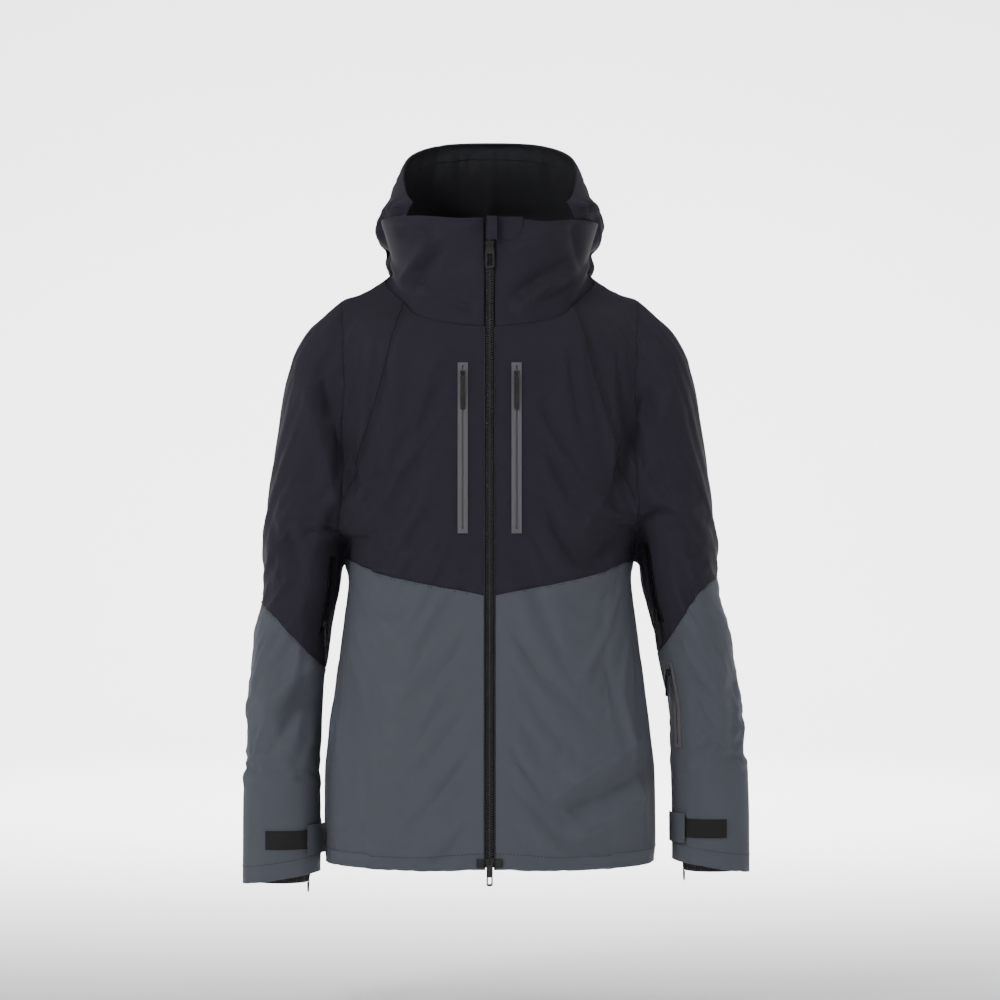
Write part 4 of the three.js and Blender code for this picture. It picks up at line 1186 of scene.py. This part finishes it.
def gap_to(edge, co):
    """How far each point lies from the nearest point of an edge."""
    return np.array([np.min(np.linalg.norm(edge - p, axis=1)) for p in co])


class SKIJACKET_OT_hood(bpy.types.Operator):
    """Hangs the hood round the back of the collar"""
    bl_idname = "ski_jacket.hood"
    bl_label = "Hood"

    def execute(self, context):
        settings = cloth_settings()
        hood = remeshed([lofted(HOOD, 64)], 0.0066, "hood_skin")
        along = (RIM_END - RIM_START).normalized()
        ahead = Vector((0, -along.z, along.y))
        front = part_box("hood_shell")[0].y
        bm = from_object(hood)
        smoothed(bm, bm.verts, 3)
        cut(bm, None, RIM_START, ahead, True)
        cut(bm, None, (0, front, 0), (0, -1, 0), True)
        buried = [f for f in bm.faces if in_neck(f.calc_center_median())]
        bmesh.ops.delete(bm, geom=buried, context="FACES")
        bmesh.ops.remove_doubles(bm, verts=bm.verts, dist=0.0012)
        whole = max(islands(bm), key=len)
        bmesh.ops.delete(bm, geom=[f for f in bm.faces if f not in whole], context="FACES")
        rim = lambda p: abs((p - RIM_START).dot(ahead)) < 0.003 or p.y < front + 0.003
        sewn = [v for v in bm.verts if v.is_boundary and not rim(v.co)]
        for v in sewn:
            v.co = onto_neck(v.co)
        smoothed(bm, sewn, 2)
        edge = np.array([v.co.copy() for v in bm.verts if v.is_boundary])
        bm.to_mesh(hood.data)
        bm.free()
        co = coordinates(hood.data)
        held = 1 - smooth(0.004, 0.024, gap_to(edge, co))
        neck = remeshed([lofted(COLLAR, 48), lofted(BODY[8:], 48)], 0.012, "neck")
        moved = relax(hood, held, settings.slack * 1.3, neck, bending=1.2)
        set_coordinates(hood.data, co + capped(moved, 0.016) * (1 - held * 0.6)[:, None])
        subdivide(hood)
        co, n = coordinates(hood.data), normals(hood.data)
        loose = smooth(0.002, 0.020, gap_to(edge, co))
        shaped = sum(crease(co, n, *crease_line(line)) for line in HOOD_CREASES) * (2.1 * loose)[:, None]
        up = (co - np.array(RIM_START)) @ np.array(along) / (RIM_END - RIM_START).length
        behind = np.maximum(0, -(co - np.array(RIM_START)) @ np.array(ahead))
        pulled = 0.020 * smooth(0.02, 0.2, up) * (1 - smooth(0.4, 0.9, up)) * np.exp(-behind / 0.034)
        shaped[:, 0] -= np.sign(co[:, 0]) * pulled * smooth(0.03, 0.08, np.abs(co[:, 0]))
        set_coordinates(hood.data, co + shaped)
        bm = from_object(hood)
        bisected = RIM_START - ahead * BRIM
        cut(bm, None, bisected, ahead)
        before = lambda f: (f.calc_center_median() - bisected).dot(ahead) > 0
        for name, keep in (("hood_brim", True), ("hood_shell", False)):
            piece = bm.copy()
            bmesh.ops.delete(piece, geom=[f for f in piece.faces if before(f) != keep], context="FACES")
            obj = new_object(f"{name}_cloth", piece)
            modify(obj, "SOLIDIFY", thickness=0.0030 if keep else SHELL, offset=-1, material_offset=1)
            if keep:
                modify(obj, "BEVEL", width=0.0008, segments=2, limit_method="ANGLE")
            modify(obj, "WEIGHTED_NORMAL", keep_sharp=True)
            finish(obj, None, "shell_black", [name], "lining")
            applied_keep(obj)
            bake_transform(obj)
        bm.free()
        bpy.data.objects.remove(hood)
        return {"FINISHED"}


def islands(bm):
    """The connected groups of faces."""
    left, groups = set(bm.faces), []
    while left:
        seed = left.pop()
        group, stack = {seed}, [seed]
        while stack:
            for e in stack.pop().edges:
                for f in e.link_faces:
                    if f in left:
                        left.discard(f)
                        group.add(f)
                        stack.append(f)
        groups.append(group)
    return groups


def onto_neck(p):
    """Moves a point sideways until it lies on the outside of the collar, or of the shoulders below it."""
    low, high = 0.2, 3.0
    for _ in range(24):
        middle = (low + high) / 2
        if in_neck(Vector((p.x * middle, p.y * middle, p.z))):
            low = middle
        else:
            high = middle
    return Vector((p.x * high, p.y * high, p.z)) if 0.8 < high < 1.25 else p


# ---- Zips ---------------------------------------------------------------------------------------------------

LEAN = math.atan(FRONT_LEAN)
ZIP_PLACE = Matrix.Translation((0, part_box("front_lower_left")[0].y, HEM)) @ Matrix.Rotation(-LEAN, 4, "X")


def merged_copy(node):
    """The CAD node's mesh as whole faces."""
    bm = from_object(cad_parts[node])
    bmesh.ops.remove_doubles(bm, verts=bm.verts, dist=1e-6)
    bmesh.ops.dissolve_limit(bm, angle_limit=math.radians(3), verts=bm.verts, edges=bm.edges)
    return bm


def softened(bm, width, segments=2, angle=35):
    sharp = [e for e in bm.edges if e.is_manifold and e.calc_face_angle(0) > math.radians(angle)]
    bmesh.ops.bevel(bm, geom=sharp, offset=width, offset_type="OFFSET", affect="EDGES", segments=segments,
        profile=0.5, material=-1, clamp_overlap=True)


def rounded(node, body, look, width=0.0003):
    """A CAD piece with its edges rounded."""
    bm = merged_copy(node)
    softened(bm, width)
    obj = new_object(f"{node}_finished", bm)
    modify(obj, "WEIGHTED_NORMAL", keep_sharp=True)
    return finish(obj, body, look, [node])


class SKIJACKET_OT_front_zip(bpy.types.Operator):
    """Sets the moulded teeth on their tapes, with the end stops and the storm flap behind"""
    bl_idname = "ski_jacket.front_zip"
    bl_label = "Front Zip"

    def execute(self, context):
        pitch = trim_settings().tooth_pitch
        low = 0.004
        high = (COLLAR_TOP - 0.008 - HEM) / math.cos(LEAN)
        for side in SIDES:
            s = side["sign"]
            tooth = bmesh.new()
            bmesh.ops.create_cube(tooth, size=1)
            bmesh.ops.scale(tooth, vec=(0.0056, 0.0030, pitch * 0.44), verts=tooth.verts)
            bmesh.ops.translate(tooth, vec=(s * 0.0024, 0.0009, 0), verts=tooth.verts)
            for v in tooth.verts:
                if v.co.x * s < 0:
                    v.co.z *= 1.25
                    v.co.y *= 0.9
            bmesh.ops.bevel(tooth, geom=tooth.edges[:], offset=0.00038, offset_type="OFFSET", affect="EDGES",
                segments=1, profile=0.5, material=-1)
            row = bmesh.new()
            start = low + (pitch / 2 if s > 0 else 0)
            add(row, tooth, [ZIP_PLACE @ Matrix.Translation((0, 0, start + k * pitch))
                for k in range(int((high - start) / pitch))])
            add(row, tape_edge(s, low, high))
            obj = new_object(f"zip_teeth_{side['name']}_finished", row, shade_smooth=False)
            finish(obj, "jacket_body", "teeth", [f"zip_teeth_{side['name']}"])
            rounded(f"zip_tape_{side['name']}", "jacket_body", "tape", 0.0002)
            rounded(f"zip_end_{side['name']}", "jacket_body", "moulded", 0.0003)
        rounded("storm_flap", "jacket_body", "lining", 0.0004)
        return {"FINISHED"}


def tape_edge(s, low, high):
    """The corded edge of the tape that the teeth are moulded on."""
    bm = bmesh.new()
    bmesh.ops.create_cone(bm, cap_ends=True, segments=10, radius1=0.0011, radius2=0.0011, depth=high - low)
    bmesh.ops.transform(bm, matrix=ZIP_PLACE @ Matrix.Translation((s * 0.0034, 0.0027, (low + high) / 2)),
        verts=bm.verts)
    return bm


class SKIJACKET_OT_sliders(bpy.types.Operator):
    """Finishes every slider and its pull"""
    bl_idname = "ski_jacket.sliders"
    bl_label = "Sliders and Pulls"

    def execute(self, context):
        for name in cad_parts:
            if "_slider" in name or "_pull" in name:
                rounded(name, name, "moulded", 0.00035)
                if name.startswith(("chest_pull", "vent_pull", "forearm_pull")):
                    self.grip(name)
        return {"FINISHED"}

    def grip(self, name):
        """Raised ridges across the lower half of a pull, on its front."""
        low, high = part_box(name)
        node = merged_copy(name)
        tree = BVHTree.FromBMesh(node)
        node.free()
        centre = (low + high) / 2
        out = Vector((0, -1, 0)) if name.startswith("chest") else Vector((-math.copysign(0.8, centre.x), -0.6, 0))
        across = Vector((-out.y, out.x, 0))
        ridges = bmesh.new()
        for k in range(6):
            z = low.z + 0.004 + k * 0.0022
            hit = tree.ray_cast(Vector((centre.x, centre.y, z)) + out * 0.02, -out)
            if hit[0] is None:
                continue
            bar = bmesh.new()
            bmesh.ops.create_cone(bar, cap_ends=True, segments=8, radius1=0.00045, radius2=0.00045, depth=0.0034)
            turn = across.to_track_quat("Z", "Y").to_matrix().to_4x4()
            turn.translation = hit[0]
            bmesh.ops.transform(bar, matrix=turn, verts=bar.verts)
            add(ridges, bar)
        if ridges.verts:
            finish(new_object(f"{name}_grip", ridges), name, "moulded")


# ---- Pieces laid on the cloth -------------------------------------------------------------------------------

def conformed(node, bases, body, look, width=0.00025, step=0.006, rounds=3):
    """A thin CAD piece moved from its CAD wall onto the draped cloth, each point at its own height off it."""
    wall = bmesh.new()
    for base in bases:
        wall.from_mesh(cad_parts[base].data)
    walls = BVHTree.FromBMesh(wall)
    wall.free()
    bm = merged_copy(node)
    softened(bm, width)
    for _ in range(rounds):
        bmesh.ops.triangulate(bm, faces=[f for f in bm.faces if len(f.verts) > 3])
        long_edges = [e for e in bm.edges if e.calc_length() > step]
        if not long_edges:
            break
        bmesh.ops.subdivide_edges(bm, edges=long_edges, cuts=1, use_grid_fill=False)
    bmesh.ops.triangulate(bm, faces=[f for f in bm.faces if len(f.verts) > 4])
    for v in bm.verts:
        at, _, _, away = walls.find_nearest(v.co)
        spot, out, *_ = made["skin_tree"].find_nearest(v.co)
        inside = (v.co - at).dot(out) < 0
        v.co = spot + out * (-(away + SHELL + 0.0012) if inside else away + 0.0001)
    obj = new_object(f"{node}_finished", bm)
    modify(obj, "WEIGHTED_NORMAL", keep_sharp=True)
    return finish(obj, body, look, [node])


class SKIJACKET_OT_chest_zips(bpy.types.Operator):
    """Welds the chest zips' welts to the fronts and hangs the pocket bags behind them"""
    bl_idname = "ski_jacket.chest_zips"
    bl_label = "Chest Zips"

    def execute(self, context):
        for side in SIDES:
            name = side["name"]
            conformed(f"chest_welt_{name}", [f"front_upper_{name}"], "jacket_body", "film")
            conformed(f"chest_pocket_{name}", [f"front_upper_{name}"], "jacket_body", "lining",
                0.0006, 0.012)
            coil(f"chest_coil_{name}", f"chest_welt_{name}", "jacket_body")
        return {"FINISHED"}


def coil(name, welt, body):
    """A nylon zip coil that shows in the slot of a welt."""
    low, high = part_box(welt)
    x = (low.x + high.x) / 2
    whole = bmesh.new()
    points = []
    count = 40
    for k in range(count + 1):
        z = low.z + 0.007 + (high.z - low.z - 0.012) * k / count
        spot, out, _, _ = made["skin_tree"].find_nearest(Vector((x, low.y, z)))
        points.append((spot, out))
    ribbon(whole, points, 0.0009, 0.0005, 0.0003, step=0.0011, ring=8)
    for v in whole.verts:
        v.co.y -= 0.00022 * math.sin(v.co.z * 2 * math.pi / 0.0022)
    finish(new_object(name, whole), body, "film")


class SKIJACKET_OT_sleeve_trims(bpy.types.Operator):
    """Lays the vents, the forearm zip and the cuff straps on the sleeves"""
    bl_idname = "ski_jacket.sleeve_trims"
    bl_label = "Vents and Cuff Straps"

    def execute(self, context):
        for side in SIDES:
            name = side["name"]
            body = f"sleeve_{name}"
            sleeve = [f"sleeve_upper_{name}", f"sleeve_lower_{name}"]
            vent = conformed(f"vent_welt_{name}", sleeve, body, "dark_film")
            vent.parent = None
            applied_keep(vent)
            across_armhole(vent, name)
            conformed(f"cuff_patch_{name}", sleeve, body, "hook_strip", 0.0004, 0.005)
            conformed(f"cuff_tab_{name}", sleeve, f"cuff_tab_{name}", "shell_grey", 0.0005, 0.005)
        conformed("forearm_welt_left", ["sleeve_upper_left", "sleeve_lower_left"], "sleeve_left", "film")
        return {"FINISHED"}


class SKIJACKET_OT_gaiters(bpy.types.Operator):
    """Knits the wrist gaiters and their thumb loops"""
    bl_idname = "ski_jacket.gaiters"
    bl_label = "Wrist Gaiters"

    def execute(self, context):
        for side in SIDES:
            name = side["name"]
            low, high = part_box(f"wrist_gaiter_{name}")
            x, y = (low.x + high.x) / 2, (low.y + high.y) / 2
            wide, deep = (high.x - low.x) / 2, (high.y - low.y) / 2
            levels = [0, 0.55, 0.9, 1]
            widths = [0.035, 0.039, wide - 0.0025, wide - 0.0006]
            depths = [0.030, 0.033, deep - 0.0018, deep - 0.0006]
            ribs = 58

            def place(u, v):
                a = 2 * math.pi * u
                rib = 0.00055 * math.cos(ribs * a) * (1 - v ** 4)
                ease = 0.0014 * math.sin(3 * a + 5 * v) * math.sin(math.pi * v)
                return Vector((x + (np.interp(v, levels, widths) + rib + ease) * math.cos(a),
                    y + (np.interp(v, levels, depths) + rib + ease) * math.sin(a),
                    low.z + (high.z - low.z) * v))

            bm = surface(ribs * 6, 22, place, closed=True)
            bmesh.ops.recalc_face_normals(bm, faces=bm.faces)
            obj = new_object(f"wrist_gaiter_{name}_knit", bm)
            modify(obj, "SOLIDIFY", thickness=0.0012, offset=-1)
            finish(obj, f"sleeve_{name}", "knit", [f"wrist_gaiter_{name}"])
            rounded(f"thumb_loop_{name}", f"sleeve_{name}", "knit", 0.0004)
        return {"FINISHED"}


# ---- Inside -------------------------------------------------------------------------------------------------

class SKIJACKET_OT_powder_skirt(bpy.types.Operator):
    """Gathers the powder skirt onto its elastic"""
    bl_idname = "ski_jacket.powder_skirt"
    bl_label = "Powder Skirt"

    def execute(self, context):
        low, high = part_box("powder_skirt")
        gathers = trim_settings().gathers
        height = high.z - low.z
        at_front = section_at(BODY, high.z)
        opening = math.asin((0.031 / at_front[2]) ** (at_front[5] / 2))

        def place(u, v):
            angle = opening + (2 * math.pi - 2 * opening) * u
            z = low.z + height * v
            down = 1 - v
            ripple = 0.0030 * down ** 0.8 * math.cos(gathers * angle) + 0.0035 * down * math.sin(7 * angle)
            x, y = on_section(section_at(BODY, z), angle, -0.0035 - 0.0215 * down ** 0.7 + ripple)
            free = Vector((x, y, z))
            spot, out, *_ = made["skin_tree"].find_nearest(free)
            return free.lerp(spot - out * 0.0036, float(smooth(0.75, 1.0, v)))

        bm = surface(gathers * 8, 26, place)
        bmesh.ops.recalc_face_normals(bm, faces=bm.faces)
        obj = new_object("powder_skirt_cloth", bm)
        modify(obj, "SOLIDIFY", thickness=0.0011, offset=0)
        finish(obj, "jacket_body", "lining", ["powder_skirt"])
        band = bmesh.new()
        ring = []
        for k in range(241):
            angle = opening + (2 * math.pi - 2 * opening) * k / 240
            x, y = on_section(section_at(BODY, low.z + 0.012), angle, -0.0255)
            out = Vector((x, y, 0)).normalized()
            ring.append((Vector((x, y, low.z + 0.012)), out))
        ribbon(band, ring, 0.011, 0.0007, -0.0030, step=0.005, ring=10)
        finish(new_object("skirt_elastic", band), "jacket_body", "knit")
        rounded("hanger_loop", "jacket_body", "tape", 0.0003)
        return {"FINISHED"}


class SKIJACKET_OT_chin_guard(bpy.types.Operator):
    """Rounds the chin guard over the parked slider"""
    bl_idname = "ski_jacket.chin_guard"
    bl_label = "Chin Guard"

    def execute(self, context):
        rounded("chin_guard", "jacket_body", "shell_black", 0.0006)
        return {"FINISHED"}


# ---- Stage --------------------------------------------------------------------------------------------------

LOOK_AT = (0, 0, -0.3)
BACKDROP = (0, 5.5, 0.2)
LAMPS = [
    # name, place, what it faces, watts, size
    ("key", (-2.2, -2.4, 1.9), LOOK_AT, 66, 1.1),
    ("fill", (2.8, -2.0, 0.6), LOOK_AT, 16, 1.8),
    ("top", (0.5, 0.3, 2.8), LOOK_AT, 26, 1.8),
    ("backdrop", (0.0, 2.2, 2.4), BACKDROP, 1000, 3.2),
]


class SKIJACKET_OT_stage(bpy.types.Operator):
    """Sets the pale floor, the soft lights and the camera"""
    bl_idname = "ski_jacket.stage"
    bl_label = "Stage"

    def execute(self, context):
        scene = context.scene
        floor_z = CAD_BOX[0].z - 0.16

        def place(u, v):
            reach = 0.02 + 7.6 * v
            rise = max(0.0, reach - 4.3) ** 2 * 0.32
            return Vector((reach * math.cos(2 * math.pi * u), reach * math.sin(2 * math.pi * u), floor_z + rise))

        bowl = surface(96, 50, place, closed=True)
        bmesh.ops.holes_fill(bowl, edges=[e for e in bowl.edges if e.is_boundary and e.calc_length() < 0.01])
        sweep = new_object("floor", bowl)
        paint = Shader("floor_paint")
        tone = paint.noise(1.5, 2.0)
        paint.set(Base_Color=paint.mix(tone, (0.86, 0.86, 0.86, 1), (0.90, 0.90, 0.90, 1)), Roughness=0.9)
        paint.set(Emission_Color=paint.mix(tone, (0.96, 0.96, 0.97, 1), (1, 1, 1, 1)))
        paint.set(Emission_Strength=0.16)
        sweep.data.materials.append(paint.material)
        camera = bpy.data.objects.new("camera", bpy.data.cameras.new("camera"))
        scene.collection.objects.link(camera)
        camera.location = (0.013, -3.97, -0.293)
        camera.rotation_euler = (math.pi / 2, 0, 0)
        camera.data.lens = 110
        scene.camera = camera
        for name, spot, faced, energy, size in LAMPS:
            light = bpy.data.lights.new(name, "AREA")
            light.energy = energy
            light.size = size
            lamp = bpy.data.objects.new(name, light)
            scene.collection.objects.link(lamp)
            lamp.location = spot
            lamp.rotation_euler = (Vector(faced) - Vector(spot)).to_track_quat("-Z", "Y").to_euler()
        world = bpy.data.worlds.new("studio")
        scene.world = world
        world.use_nodes = True
        sky = world.node_tree.nodes["Background"].inputs
        sky["Color"].default_value = (0.95, 0.96, 1.0, 1)
        sky["Strength"].default_value = 0.13
        return {"FINISHED"}


STEPS = [SKIJACKET_OT_stage, SKIJACKET_OT_finishes, SKIJACKET_OT_skin, SKIJACKET_OT_panels, SKIJACKET_OT_seams,
    SKIJACKET_OT_collar, SKIJACKET_OT_hood, SKIJACKET_OT_front_zip, SKIJACKET_OT_sliders, SKIJACKET_OT_chin_guard,
    SKIJACKET_OT_chest_zips, SKIJACKET_OT_sleeve_trims, SKIJACKET_OT_gaiters, SKIJACKET_OT_powder_skirt]


class SKIJACKET_PT_panel(bpy.types.Panel):
    bl_label = "Ski Jacket"
    bl_idname = "SKIJACKET_PT_panel"
    bl_space_type = "VIEW_3D"
    bl_region_type = "UI"
    bl_category = "Ski Jacket"

    def draw(self, context):
        for group in (context.scene.ski_jacket_colours, context.scene.ski_jacket_cloth,
                context.scene.ski_jacket_trim):
            box = self.layout.box()
            for name in group.bl_rna.properties.keys():
                if name not in ("rna_type", "name"):
                    box.prop(group, name)
        for step in STEPS:
            self.layout.operator(step.bl_idname)


GROUPS = {
    "ski_jacket_colours": SKIJACKET_PG_colours,
    "ski_jacket_cloth": SKIJACKET_PG_cloth,
    "ski_jacket_trim": SKIJACKET_PG_trim,
}


def register():
    for cls in (*GROUPS.values(), *STEPS, SKIJACKET_PT_panel):
        bpy.utils.register_class(cls)
    for name, cls in GROUPS.items():
        setattr(bpy.types.Scene, name, PointerProperty(type=cls))


def unregister():
    for name in GROUPS:
        delattr(bpy.types.Scene, name)
    for cls in reversed((*GROUPS.values(), *STEPS, SKIJACKET_PT_panel)):
        bpy.utils.unregister_class(cls)


def main():
    register()
    for step in STEPS:
        area, name = step.bl_idname.split(".")
        getattr(getattr(bpy.ops, area), name)()
    made["skin"].free()
    bpy.data.objects.remove(made["skin_object"])
    bpy.context.view_layer.update()


if __name__ == "__main__":
    main()
